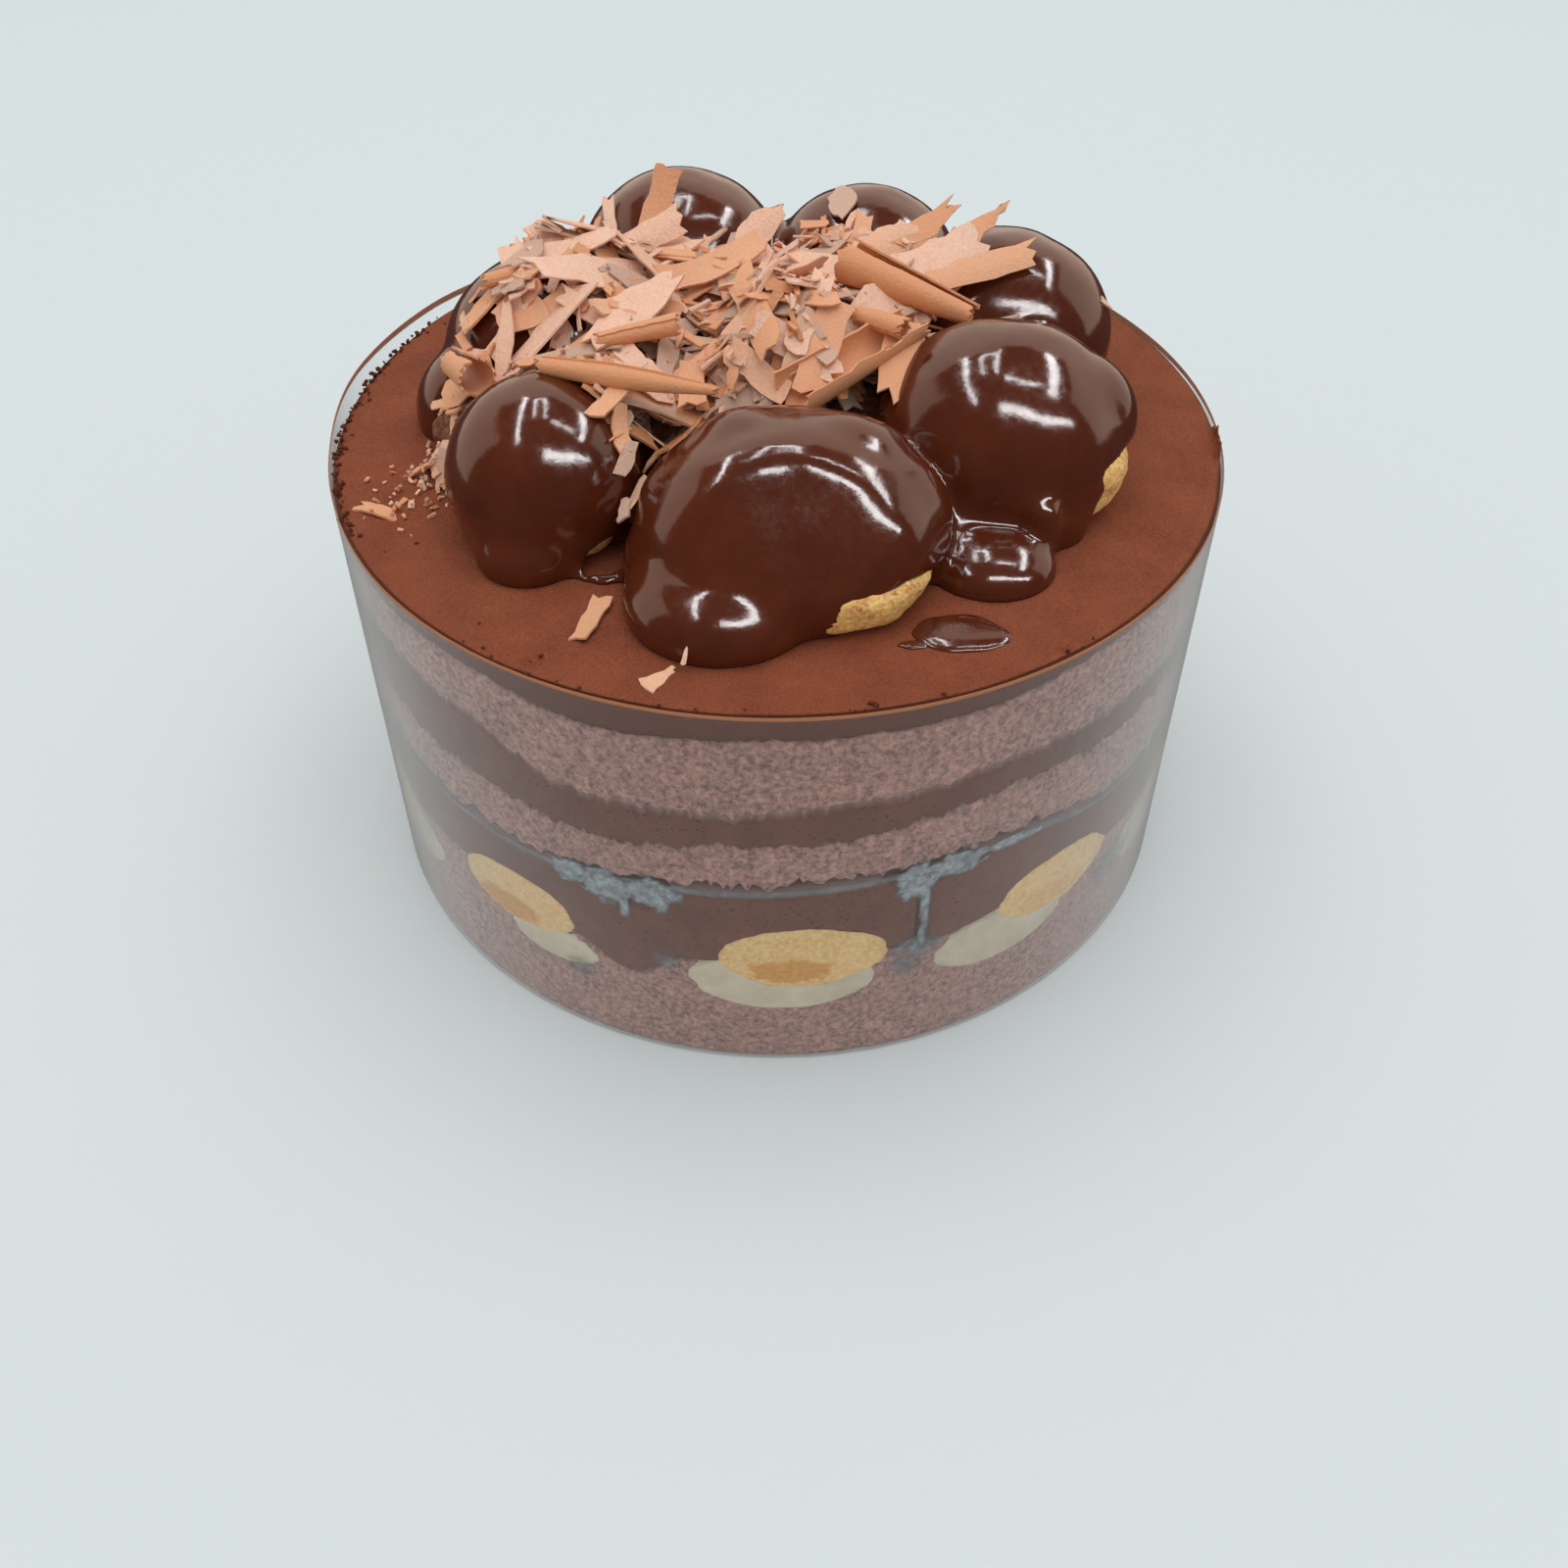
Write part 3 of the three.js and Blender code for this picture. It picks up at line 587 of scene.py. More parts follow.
def ball_at(x, y, level, wide, deep, tall, segments=48, rings=24):
    """A ball stretched to its half sizes, its middle so high over the mousse, in mm."""
    bpy.ops.mesh.primitive_uv_sphere_add(segments=segments, ring_count=rings, radius=1)
    ball = bpy.context.object
    for vertex in ball.data.vertices:
        vertex.co = Vector((vertex.co.x * wide + x, vertex.co.y * deep + y,
                            vertex.co.z * tall + level)) * MM + Vector((0, 0, CAKE_HEIGHT))
    return ball


# The widest bun has a flat crest, and its front falls away from there in a straight slope: the
# crest's y and height over the mousse in mm, and how steep the slope is.
CREST = {"y": -50.5, "height": 25.2, "steepness": 1.15}


def slope_front(ball, under):
    """Cuts a ball's upper front down to the slope, or to so many mm under it."""
    drop = under * hypot(1, CREST["steepness"])
    for vertex in ball.data.vertices:
        forward = CREST["y"] - vertex.co.y / MM
        slope = CREST["height"] - drop - CREST["steepness"] * forward
        vertex.co.z = min(vertex.co.z, CAKE_HEIGHT + max(slope, 0) * MM)


def bun_choux_material():
    """Baked choux crust in the open air, golden yellow with brown scorched blisters."""
    material, tree, surface = new_material("baked_choux")
    colour, grains = choux_colours(tree, paint(255, 216, 134), paint(255, 186, 84), paint(190, 96, 32))
    set_surface(tree, surface, colour, 0.7, 0.5, Normal=bumped(tree, grains, 0.5, 0.4))
    return material


BUN_CHOUX = bun_choux_material()
for i, (x, y, wide, deep, rise, seat) in enumerate(BUNS, 1):
    bun = ball_at(x, y, seat, wide - GLAZE_THICKNESS, deep - GLAZE_THICKNESS,
                  rise - seat - GLAZE_THICKNESS, 96, 64)
    bun.name = f"choux_bun_{i}"
    if i == 1:
        slope_front(bun, GLAZE_THICKNESS)
    for vertex in bun.data.vertices:
        outward = vertex.co - Vector((x * MM, y * MM, CAKE_HEIGHT + seat * MM))
        blister = 0.7 * noise.noise(vertex.co / (5 * MM)) + 0.35 * noise.noise(vertex.co / (1.6 * MM))
        vertex.co += outward.normalized() * blister * MM
        if i in FOOT_SWELLS:
            at, half_width, swollen, low, high = FOOT_SWELLS[i]
            aside = degrees_past(degrees(atan2(outward.y, outward.x)), at)
            middle, half = (low + high) / 2, (high - low) / 2
            level = ((vertex.co.z - CAKE_HEIGHT) / MM - middle) / half
            swollen *= exp(-((aside / half_width) ** 2) - level**4)
            vertex.co += Vector((outward.x, outward.y, 0)).normalized() * swollen * MM
        vertex.co.z = max(vertex.co.z, CAKE_HEIGHT + 0.1 * MM)
    bun.data.shade_smooth()
    finish_piece(bun, BUN_CHOUX, "choux", f"choux_{i}")


# ----------------------------------------------------------------------------------- glaze
# Warm milk-chocolate glaze was poured over the buns. It has run together in the saddles between
# them, hangs in thick lobes at the foot, and left a pool and a drop on the mousse.

# The pours, each one skin over the buns it covers. Its lobes are where glaze ran or piled up, as
# x, y, middle's height, half widths and half height; its ropes are runs of it that slid down, as
# start and end (x, y, height over the mousse) and thickness; where it stopped short of the foot,
# it is bare, as x, y, half width along, half width in, height, and heading. All in mm.
POURS = [
    {"buns": [1], "ropes": [], "bare": [[22.5, -60, 13, 8.5, 8, 40], [29, -54, 7, 5, 8, 50]],
     "lobes": [[-8, -54.5, 2, 16.5, 17, 9], [-14, -46, 2, 11, 12, 12], [12, -40, 11.5, 13.5, 12, 14.3],
               [-4, -39.5, 12, 12.5, 12.5, 13.8], [19, -43.5, 8, 11, 11, 13.5]]},
    {"buns": [2], "ropes": [[26, -30, 14, 32.2, -41, 4.5, 2.3], [45, -40, 8, 47, -36, 2, 3.2]],
     "bare": [[63.5, -26, 12, 9, 13, 58]],
     "lobes": [[36.6, -43.3, 0, 11.5, 10.5, 6.2], [48, -31, 2, 6.5, 8, 11], [48.5, -18.3, 13.5, 14.5, 12, 12],
               [25, -29, 2, 8, 9, 10]]},
    {"buns": [3, 4, 5, 6], "ropes": [], "bare": [],
     "lobes": [[52, 24, 2, 12, 12, 12], [20, 51, 2, 11, 10, 10], [-27, 54, 2, 12, 12, 10],
               [-57, 2, 2, 11, 11, 12], [28, 30, 8, 8, 8, 12], [-2, 45, 8, 8, 8, 11],
               [-34, 29, 8, 9, 8, 11], [46, 0, 8, 9, 8, 12]]},
    {"buns": [7], "ropes": [[-53, -22, 12, -50, -38, 3, 3.0]], "bare": [[-27.5, -43, 6, 4.5, 4.2, 40]],
     "lobes": [[-41, -40, 2, 10, 11.5, 8], [-28, -43.5, 0, 8, 7, 1.6], [-31, -18, 8, 9, 10, 12]]},
]
GLAZE_VOXEL = 0.75
# How often each pour is smoothed by itself, and then all of them together.
SKIN_SMOOTHING = 30
JOIN_SMOOTHING = 6
ROPE_BALLS = 9


def join_as(name, parts):
    bpy.ops.object.select_all(action="DESELECT")
    for part in parts:
        part.select_set(True)
    bpy.context.view_layer.objects.active = parts[0]
    bpy.ops.object.join()
    parts[0].name = name
    return parts[0]


def apply_modifier(piece, kind, **settings):
    modifier = piece.modifiers.new(kind.lower(), kind)
    for setting, value in settings.items():
        setattr(modifier, setting, value)
    bpy.context.view_layer.objects.active = piece
    bpy.ops.object.modifier_apply(modifier=modifier.name)


skins = []
for pour in POURS:
    balls = [ball_at(x, y, seat, wide, deep, rise - seat, 64, 32)
             for x, y, wide, deep, rise, seat in [BUNS[number - 1] for number in pour["buns"]]]
    if pour["buns"] == [1]:
        slope_front(balls[0], 0)
    balls += [ball_at(x, y, level, wide, deep, tall) for x, y, level, wide, deep, tall in pour["lobes"]]
    for x0, y0, z0, x1, y1, z1, thick in pour["ropes"]:
        for step in range(ROPE_BALLS):
            spot = Vector((x0, y0, z0)).lerp(Vector((x1, y1, z1)), step / (ROPE_BALLS - 1))
            balls.append(ball_at(*spot, thick, thick, thick, 16, 8))
    skin = join_as("pour", balls)
    apply_modifier(skin, "REMESH", mode="VOXEL", voxel_size=GLAZE_VOXEL * MM)
    apply_modifier(skin, "SMOOTH", factor=0.5, iterations=SKIN_SMOOTHING)
    for x, y, along, inward, high, heading in pour["bare"]:
        cutter = ball_at(0, 0, -1, along, inward, high + 1, 40, 24)
        turn = radians(heading)
        for vertex in cutter.data.vertices:
            px, py = vertex.co.x, vertex.co.y
            vertex.co.x = x * MM + px * cos(turn) - py * sin(turn)
            vertex.co.y = y * MM + px * sin(turn) + py * cos(turn)
        apply_modifier(skin, "BOOLEAN", object=cutter, operation="DIFFERENCE", solver="EXACT")
        bpy.data.objects.remove(cutter)
    skins.append(skin)
glaze = join_as("poured_glaze", skins)
apply_modifier(glaze, "REMESH", mode="VOXEL", voxel_size=GLAZE_VOXEL * MM)
apply_modifier(glaze, "SMOOTH", factor=0.5, iterations=JOIN_SMOOTHING)


def swell(piece, height_at):
    """Moves each point of a piece out along its normal by a height that depends on its place."""
    normals = [Vector(normal.vector) for normal in piece.data.vertex_normals]
    for vertex, normal in zip(piece.data.vertices, normals):
        vertex.co += normal * height_at(vertex.co)


def glaze_wave(place):
    """Slow waves where the pouring glaze wrinkled and set, all but gone at the foot."""
    over = smooth_step((place.z - CAKE_HEIGHT) / MM, 2, 12)
    streak = Vector((place.x, place.y, place.z * 0.4))
    wave = 0.5 * ripple(streak, 11) + 0.12 * ripple(streak, 5)
    return wave * over * MM


swell(glaze, glaze_wave)
# The glaze ends flat, just clear of the mousse.
bpy.ops.object.mode_set(mode="EDIT")
bpy.ops.mesh.select_all(action="SELECT")
bpy.ops.mesh.bisect(plane_co=(0, 0, CAKE_HEIGHT + 0.05 * MM), plane_no=(0, 0, 1), use_fill=True,
                    clear_inner=True)
bpy.ops.mesh.select_all(action="DESELECT")
bpy.ops.object.mode_set(mode="OBJECT")
glaze.data.shade_smooth()


def glaze_material():
    """Mirror glaze: dark milk chocolate, glossy all over, with a barely uneven skin."""
    material, tree, surface = new_material("chocolate_glaze")
    grains, clumps = crumb_masks(tree, 1.2, 16.0)
    roughness = map_range(tree, grains, {"To Min": 0.09, "To Max": 0.17})
    set_surface(tree, surface, mix_colours(tree, clumps, paint(78, 31, 15), paint(92, 40, 21)),
                roughness, 0.55, Normal=bumped(tree, grains, 0.12, 0.06))
    return material


GLAZE = glaze_material()
finish_piece(glaze, GLAZE, "glaze", *[f"glaze_{i}" for i in range(1, 8)])

# The puddle: a thin drop with a rounded rim and a slightly sunken middle, and a fleck beside it.
# x, y, half widths and thickness in mm.
PUDDLE = [[30.5, -61.5, 7.8, 4.8, 1.35], [22.8, -64.5, 2.4, 1.1, 0.7]]
puddle_parts = []
for x, y, wide, deep, thick in PUDDLE:
    drop = ball_at(0, 0, 0, 1, 1, 1, 64, 40)
    for vertex in drop.data.vertices:
        px, py, level = vertex.co.x / MM, vertex.co.y / MM, (vertex.co.z - CAKE_HEIGHT) / MM
        outline = 1 + 0.16 * noise.noise(Vector((px, py, 0)) * 1.3 + Vector((x, 0, 0)))
        sunk = 1 - 0.2 * exp(-((hypot(px, py) / 0.6) ** 2))
        vertex.co.x = (x + px * wide * outline) * MM
        vertex.co.y = (y + py * deep * outline) * MM
        vertex.co.z = CAKE_HEIGHT + (max(level, -0.1) * thick * sunk - 0.1) * MM
    puddle_parts.append(drop)
puddle = join_as("glaze_puddle", puddle_parts)
puddle.data.shade_smooth()
finish_piece(puddle, GLAZE, "glaze", "glaze_drop")


# -------------------------------------------------------------------------------- shavings
# Milk chocolate scraped off a block with a knife: flat flakes with ragged ends, some curled or
# rolled, let fall in a loose heap over the middle, so that they lie on one another and the buns.

HEAP_MIDDLE = (-4, 2)
# Domes of the heap: x, y, half widths, middle's height and top's height, in mm.
HEAP_DOMES = [[-4, 2, 34, 30, 5, 25], [-42, -11, 20, 8.5, 5, 20.5], [-30, -3, 15, 12, 14, 27.5],
              [-20, 21, 15, 10, 14, 26], [22, 17, 16, 11, 14, 28]]
# How far out the flakes reach, as [direction, mm].
heap_reach = ring_curve([[0, 34], [38, 43], [62, 34], [90, 31], [118, 36], [160, 47], [196, 57],
                         [222, 40], [242, 43], [258, 28], [300, 24]])
CORE_SINK = 6.5  # how far the core lies under the flakes that cover it

# The bed is the height of what a flake comes to lie on, over each square mm of the mousse.
GRID_HALF = 80
mm_line = np.arange(-GRID_HALF, GRID_HALF + 1.0)
grid_xs, grid_ys = np.meshgrid(mm_line, mm_line, indexing="ij")
bed = np.zeros_like(grid_xs)
under_flakes = [[*dome, top - CORE_SINK] for *dome, top in HEAP_DOMES]
under_flakes += [[x, y, wide, deep, seat, rise + 0.4] for x, y, wide, deep, rise, seat in BUNS]
under_flakes += [[x, y, wide, deep, level, level + tall]
                 for pour in POURS for x, y, level, wide, deep, tall in pour["lobes"]]
for x, y, wide, deep, level, top in under_flakes:
    inside = 1 - ((grid_xs - x) / wide) ** 2 - ((grid_ys - y) / deep) ** 2
    dome = np.where(inside > 0, level + (top - level) * np.sqrt(np.maximum(inside, 0)), 0)
    bed = np.maximum(bed, dome)


def bed_cells(xs, ys):
    return tuple(np.clip(np.rint(values).astype(int) + GRID_HALF, 0, 2 * GRID_HALF)
                 for values in (xs, ys))


def mesh_piece(name, points, faces, **labels):
    """A piece made of points and faces, with a number for each point under each label."""
    mesh = bpy.data.meshes.new(name)
    mesh.from_pydata(points, [], faces)
    piece = bpy.data.objects.new(name, mesh)
    bpy.context.scene.collection.objects.link(piece)
    for label, values in labels.items():
        label_points(piece, label, values)
    return piece


def shade_creased(piece, crease):
    """Smooth shading, but for edges that turn more than so many degrees."""
    piece.data.shade_smooth()
    piece.data.set_sharp_from_angle(angle=radians(crease))


class Scraps:
    """Collects thin ragged sheets, each one closed, and joins them into one mesh."""

    def __init__(self):
        self.points, self.faces, self.tones, self.count = [], [], [], 0

    def add(self, centre_line, thickness, tone):
        along, across = centre_line.shape[:2]
        normal = np.cross(np.gradient(centre_line, axis=0), np.gradient(centre_line, axis=1))
        normal /= np.maximum(np.linalg.norm(normal, axis=2, keepdims=True), 1e-9)
        top = centre_line + normal * thickness / 2
        bottom = centre_line - normal * thickness / 2
        index = np.arange(along * across).reshape(along, across) + self.count
        under = index + along * across
        quads = np.stack([index[:-1, :-1], index[1:, :-1], index[1:, 1:], index[:-1, 1:]], -1)
        backs = np.stack([under[:-1, :-1], under[:-1, 1:], under[1:, 1:], under[1:, :-1]], -1)
        rim_top = np.concatenate([index[:, 0], index[-1, 1:], index[-2::-1, -1], index[0, -2:0:-1]])
        rim_under = rim_top + along * across
        sides = np.stack([rim_under, np.roll(rim_under, -1), np.roll(rim_top, -1), rim_top], -1)
        self.points += [top.reshape(-1, 3), bottom.reshape(-1, 3)]
        self.faces += [quads.reshape(-1, 4), backs.reshape(-1, 4), sides]
        self.tones.append(np.full(2 * along * across, tone))
        self.count += 2 * along * across

    def piece(self, name):
        points = np.concatenate(self.points) * MM + np.array([0, 0, CAKE_HEIGHT])
        tones = np.concatenate(self.tones).astype(np.float32)
        made = mesh_piece(name, points.tolist(), np.concatenate(self.faces).tolist(), tone=tones)
        shade_creased(made, 35)
        return made


draw = random.Random(20)


def ragged_sheet(length, width, along=7, across=4, shape="strip", rag=0.05):
    """Flat sheet coordinates of a scraped flake: along its length and across its width, in mm."""
    shares = np.linspace(0, 1, along)
    if shape == "leaf":
        widths = 0.25 + 0.75 * np.sin(np.pi * np.clip(shares, 0.05, 0.95)) ** 0.7
    elif shape == "shard":
        widths = 1 - 0.75 * shares
    else:
        widths = 1 - 0.18 * abs(shares - draw.random())
    spread = np.linspace(-0.5, 0.5, across)
    grid_u = np.repeat(((shares - 0.5) * length)[:, None], across, 1)
    grid_v = spread[None, :] * (width * widths)[:, None]
    lean = draw.uniform(-0.25, 0.25) * width
    grid_v += (lean * (shares - 0.5))[:, None]
    for row in range(along):
        grid_v[row, 0] += draw.gauss(0, rag) * width
        grid_v[row, -1] += draw.gauss(0, rag) * width
    for column in range(across):
        grid_u[0, column] += draw.gauss(0, 0.14) * width
        grid_u[-1, column] += draw.gauss(0, 0.14) * width
    return grid_u, grid_v


def bent_sheet(grid_u, grid_v, bend_along, bend_across, twist):
    """The flat sheet bent to a gentle curve: bends are turns in radians from end to end."""
    length, width = np.ptp(grid_u), np.ptp(grid_v)
    grid_w = -bend_along * grid_u**2 / (2 * length) - bend_across * grid_v**2 / (2 * width)
    grid_w += twist * grid_u * grid_v / length
    return np.stack([grid_u, grid_v, grid_w], -1)


def laid(sheet, x, y, height, heading, slope_along, slope_across):
    """A bent sheet set down at a place, turned to its heading and tilted."""
    turn = radians(heading)
    along = Vector((cos(turn), sin(turn), slope_along)).normalized()
    side = Vector((-sin(turn), cos(turn), slope_across))
    normal = along.cross(side).normalized()
    side = normal.cross(along)
    axes = np.array([along, side, normal])
    return sheet @ axes + np.array([x, y, height])


def drop_flake(scraps, x, y, length, width, heading, tilt, shape="strip", tone=None):
    """Lets a flake fall at x, y, so that it lies on the highest things under it."""
    steps = (5 if length < 8 else 7), (3 if width < 3 else 4)
    grid_u, grid_v = ragged_sheet(length, width, *steps, shape)
    turn = radians(heading)
    xs = x + grid_u * cos(turn) - grid_v * sin(turn)
    ys = y + grid_u * sin(turn) + grid_v * cos(turn)
    under = bed[bed_cells(xs, ys)]
    plan = np.stack([grid_u.ravel(), grid_v.ravel(), np.ones(grid_u.size)], 1)
    slope_along, slope_across, _ = np.linalg.lstsq(plan, under.ravel(), rcond=None)[0]
    slope_along = float(np.clip(slope_along, -0.9, 0.9)) + draw.gauss(0, tilt)
    slope_across = float(np.clip(slope_across, -0.9, 0.9)) + draw.gauss(0, 1.4 * tilt)
    over = under - slope_along * grid_u - slope_across * grid_v
    height = float(np.percentile(over, 62)) + 0.25
    bend = draw.gauss(0, 0.35), draw.gauss(0, 0.3)
    sheet = bent_sheet(grid_u, grid_v, *bend, draw.gauss(0, 0.25))
    placed = laid(sheet, x, y, height, heading, slope_along, slope_across)
    scraps.add(placed, draw.uniform(0.3, 0.5), draw.random() if tone is None else tone)
    # The flake now lies in the bed, for the next to land on.
    points = np.concatenate([placed.reshape(-1, 3), (placed[1:] + placed[:-1]).reshape(-1, 3) / 2,
                             (placed[:, 1:] + placed[:, :-1]).reshape(-1, 3) / 2])
    np.maximum.at(bed, bed_cells(points[:, 0], points[:, 1]), points[:, 2] + 0.35)


def heap_place(furthest):
    direction = draw.uniform(-180, 180)
    out = heap_reach(direction) / MM * sqrt(draw.random()) * furthest
    turn = radians(direction)
    return HEAP_MIDDLE[0] + out * cos(turn), HEAP_MIDDLE[1] + out * sin(turn)


SHAPES = ["strip", "strip", "strip", "leaf", "shard"]
# Falls of the heap in order: how many, lengths, widths, how uneven they lie, how far they reach.
FALLS = [[170, (7, 13), (3, 5.5), 0.12, 0.93], [70, (3, 7), (1, 2.6), 0.25, 0.99],
         [120, (11, 22), (3.5, 6), 0.1, 0.86], [150, (2.5, 7), (0.9, 2.4), 0.3, 1.02],
         [70, (10, 19), (3, 5.5), 0.14, 0.84], [110, (2, 7), (0.7, 2.2), 0.3, 0.9]]
flats = Scraps()
for count, lengths, widths, tilt, furthest in FALLS:
    for _ in range(count):
        x, y = heap_place(furthest)
        drop_flake(flats, x, y, draw.uniform(*lengths), draw.uniform(*widths), draw.uniform(0, 360),
                   tilt, draw.choice(SHAPES))

# The large flakes that show most: x, y, heading, length, width, shape, tone (0 grey, 1 orange).
LARGE_FLAKES = [[-55, -8.5, 165, 13, 8, "strip", 0.8], [-41.5, -10, 50, 27, 7.5, "strip", 0.35],
                [-25, -4, 56, 24, 9, "leaf", 0.4], [18, -3, 52, 23, 7, "leaf", 0.3],
                [-4, -10, 108, 22, 6, "strip", 0.75],
                [3, 0, 100, 20, 5.5, "strip", 0.35], [-12, 14, 30, 20, 6, "strip", 0.7],
                [-20, 26, 120, 13, 7, "strip", 0.4], [-33, 4, 35, 21, 7, "strip", 0.3],
                [-24, 12, 150, 18, 6.5, "leaf", 0.55], [8, 12, 160, 17, 7, "strip", 0.5],
                [36.5, 1, 5, 11.5, 5, "strip", 0.15], [-14, -20, 95, 12, 5.5, "strip", 0.7],
                [-22, -21, 170, 11, 6, "leaf", 0.35], [8, -16, 70, 18, 6, "strip", 0.75],
                [-36, 16, 20, 12, 6, "leaf", 0.5], [32, 8, 30, 18, 6, "shard", 0.75],
                [-48, 2, 130, 9, 6, "leaf", 0.1], [-45, 8, 60, 9, 6, "leaf", 0.1],
                [12, 37, 80, 9, 6, "leaf", 0.15], [-33, 36, 95, 14, 3, "strip", 0.3]]
for x, y, heading, length, width, shape, tone in LARGE_FLAKES:
    drop_flake(flats, x, y, length, width, heading, 0.1, shape, tone)

# Flakes that lean or stand out of the heap: foot and tip as x, y, height over the mousse, then
# width, shape and tone.
LEANING_FLAKES = [[-25, 31, 22, -21.5, 38.5, 33.2, 5, "strip", 0.75],
                  [-41, 30, 22, -25, 19, 24.5, 4.5, "shard", 0.95],
                  [22, 4, 26.5, 36, 15, 30.5, 9, "strip", 0.35],
                  [23, 13, 28.5, 31.5, 22, 34, 7, "shard", 0.9],
                  [30, 11, 28, 41, 20.5, 34, 6, "shard", 0.8], [28, 5, 26.5, 46, 11, 29.5, 5, "strip", 0.7],
                  [12, 12, 27.5, 25, 16, 30.5, 7, "leaf", 0.6], [19, -24, 21, 24, -8, 26, 7.5, "leaf", 0.85],
                  [-33, 24, 22, -18, 28, 27, 6, "strip", 0.4], [-8, 26, 24, 0, 30, 27.5, 6, "leaf", 0.5]]
for x0, y0, z0, x1, y1, z1, width, shape, tone in LEANING_FLAKES:
    foot, tip = Vector((x0, y0, z0)), Vector((x1, y1, z1))
    along = (tip - foot).normalized()
    side = Vector((0, -0.6, 0.8)).cross(along).normalized()
    grid_u, grid_v = ragged_sheet((tip - foot).length, width, 8, 5, shape)
    sheet = bent_sheet(grid_u, grid_v, draw.uniform(-0.5, 0.5), draw.uniform(0.2, 0.9), 0.1)
    axes = np.array([along, side, along.cross(side)])
    flats.add(sheet @ axes + np.array((foot + tip) / 2), 0.45, tone)

# Rolled curls: the two ends as x, y, height over the mousse, radius at each end, how much wider
# the roll is half way, how far round it goes, and where round it the free edge starts, in degrees.
CURLS = [[-57, -8.5, 17.5, -50.8, -19.8, 21.0, 2.6, 3.4, 0, 345, 100],
         [-38.5, -25.5, 26.8, -9.5, -30.5, 25.2, 1.4, 0.6, 0.9, 430, 100],
         [12, 7, 29.5, 34, -5, 25.5, 4.2, 2.0, 0, 335, 110],
         [3, -26, 22.5, 24, -9, 26.5, 4.8, 3.4, 0, 215, 160],
         [14, -8, 27, 22, -13, 27, 1.4, 2.0, 0, 420, 0],
         [-52, 3, 27, -37, 8, 29, 1.2, 0.8, 0.3, 400, 0],
         [-30, -14, 25, -17, -12, 27, 1.3, 1.9, 0, 380, 60]]
CURL_RINGS, CURL_POINTS = 15, 29
curls = Scraps()
for x0, y0, z0, x1, y1, z1, start_radius, end_radius, bulge, sweep, free_edge in CURLS:
    start, end = Vector((x0, y0, z0)), Vector((x1, y1, z1))
    along = (end - start).normalized()
    side = along.cross(Vector((0, 0, 1))).normalized()
    up = side.cross(along)
    torn_start = [draw.gauss(0, 0.5) for _ in range(CURL_POINTS)]
    torn_end = [draw.gauss(0, 0.5) for _ in range(CURL_POINTS)]
    rows = []
    for i in range(CURL_RINGS):
        share = i / (CURL_RINGS - 1)
        radius = start_radius + (end_radius - start_radius) * share + bulge * sin(pi * share)
        ring = []
        for j in range(CURL_POINTS):
            free = j in (0, CURL_POINTS - 1)
            edge_wave = 14 * noise.noise(Vector((i * 0.55, x0, y0))) if free else 0
            turn = radians(free_edge + sweep * j / (CURL_POINTS - 1) + edge_wave)
            out = radius * (1 - 0.2 * (j / (CURL_POINTS - 1)) * sweep / 360)
            ragged = torn_start[j] * max(0, 1 - 3 * share) + torn_end[j] * max(0, 3 * share - 2)
            spot = start.lerp(end, share) + along * ragged
            ring.append(spot + side * out * cos(turn) + up * out * sin(turn))
        rows.append(ring)
    curls.add(np.array(rows), 0.4, draw.uniform(0.78, 1.0))

# Flakes that slid off the heap: down the left of the front left bun, and between it and the
# widest one. x, y, heading, length, width.
SLID_FLAKES = [[-52, -20, 70, 9, 4], [-56, -19, 80, 8, 4.5], [-60, -17, 40, 7, 3.5],
               [-62.5, -15.5, 100, 6, 3], [-59, -20, 85, 7, 3], [-64, -18, 10, 5, 1.2],
               [-57, -23.5, 5, 5, 2.2], [-25, -34, 100, 8, 3.5], [-24, -38, 75, 6, 2.5],
               [-22.5, -42, 60, 8, 3.6], [-24, -44.5, 90, 4, 2.2], [-27, -32, 60, 7, 3.5]]
for x, y, heading, length, width in SLID_FLAKES:
    drop_flake(flats, x, y, length, width, heading, 0.2, "strip", draw.choice([0.1, 0.4, 0.7]))

# Flakes that fell clear and lie on the mousse, and finer crumbs of them by the left rim.
FALLEN_FLAKES = [[-69.5, -29, -20, 8, 3, 0.8], [-29, -59, 75, 11, 3.4, 0.7], [-17, -73.5, 35, 6, 4, 0.6],
                 [61, 14, 10, 3, 1.2, 0.4], [-13, -71, 70, 3, 1, 0.5]]
for x, y, heading, length, width, tone in FALLEN_FLAKES:
    drop_flake(flats, x, y, length, width, heading, 0.05, "shard" if length < 7 else "strip", tone)
for _ in range(60):
    x, y = draw.gauss(-64, 4.5), draw.gauss(-22, 6)
    size = draw.uniform(0.4, 1.6)
    if hypot(x, y) < 80:
        drop_flake(flats, x, y, size, size * draw.uniform(0.3, 0.8), draw.uniform(0, 360), 0.2)


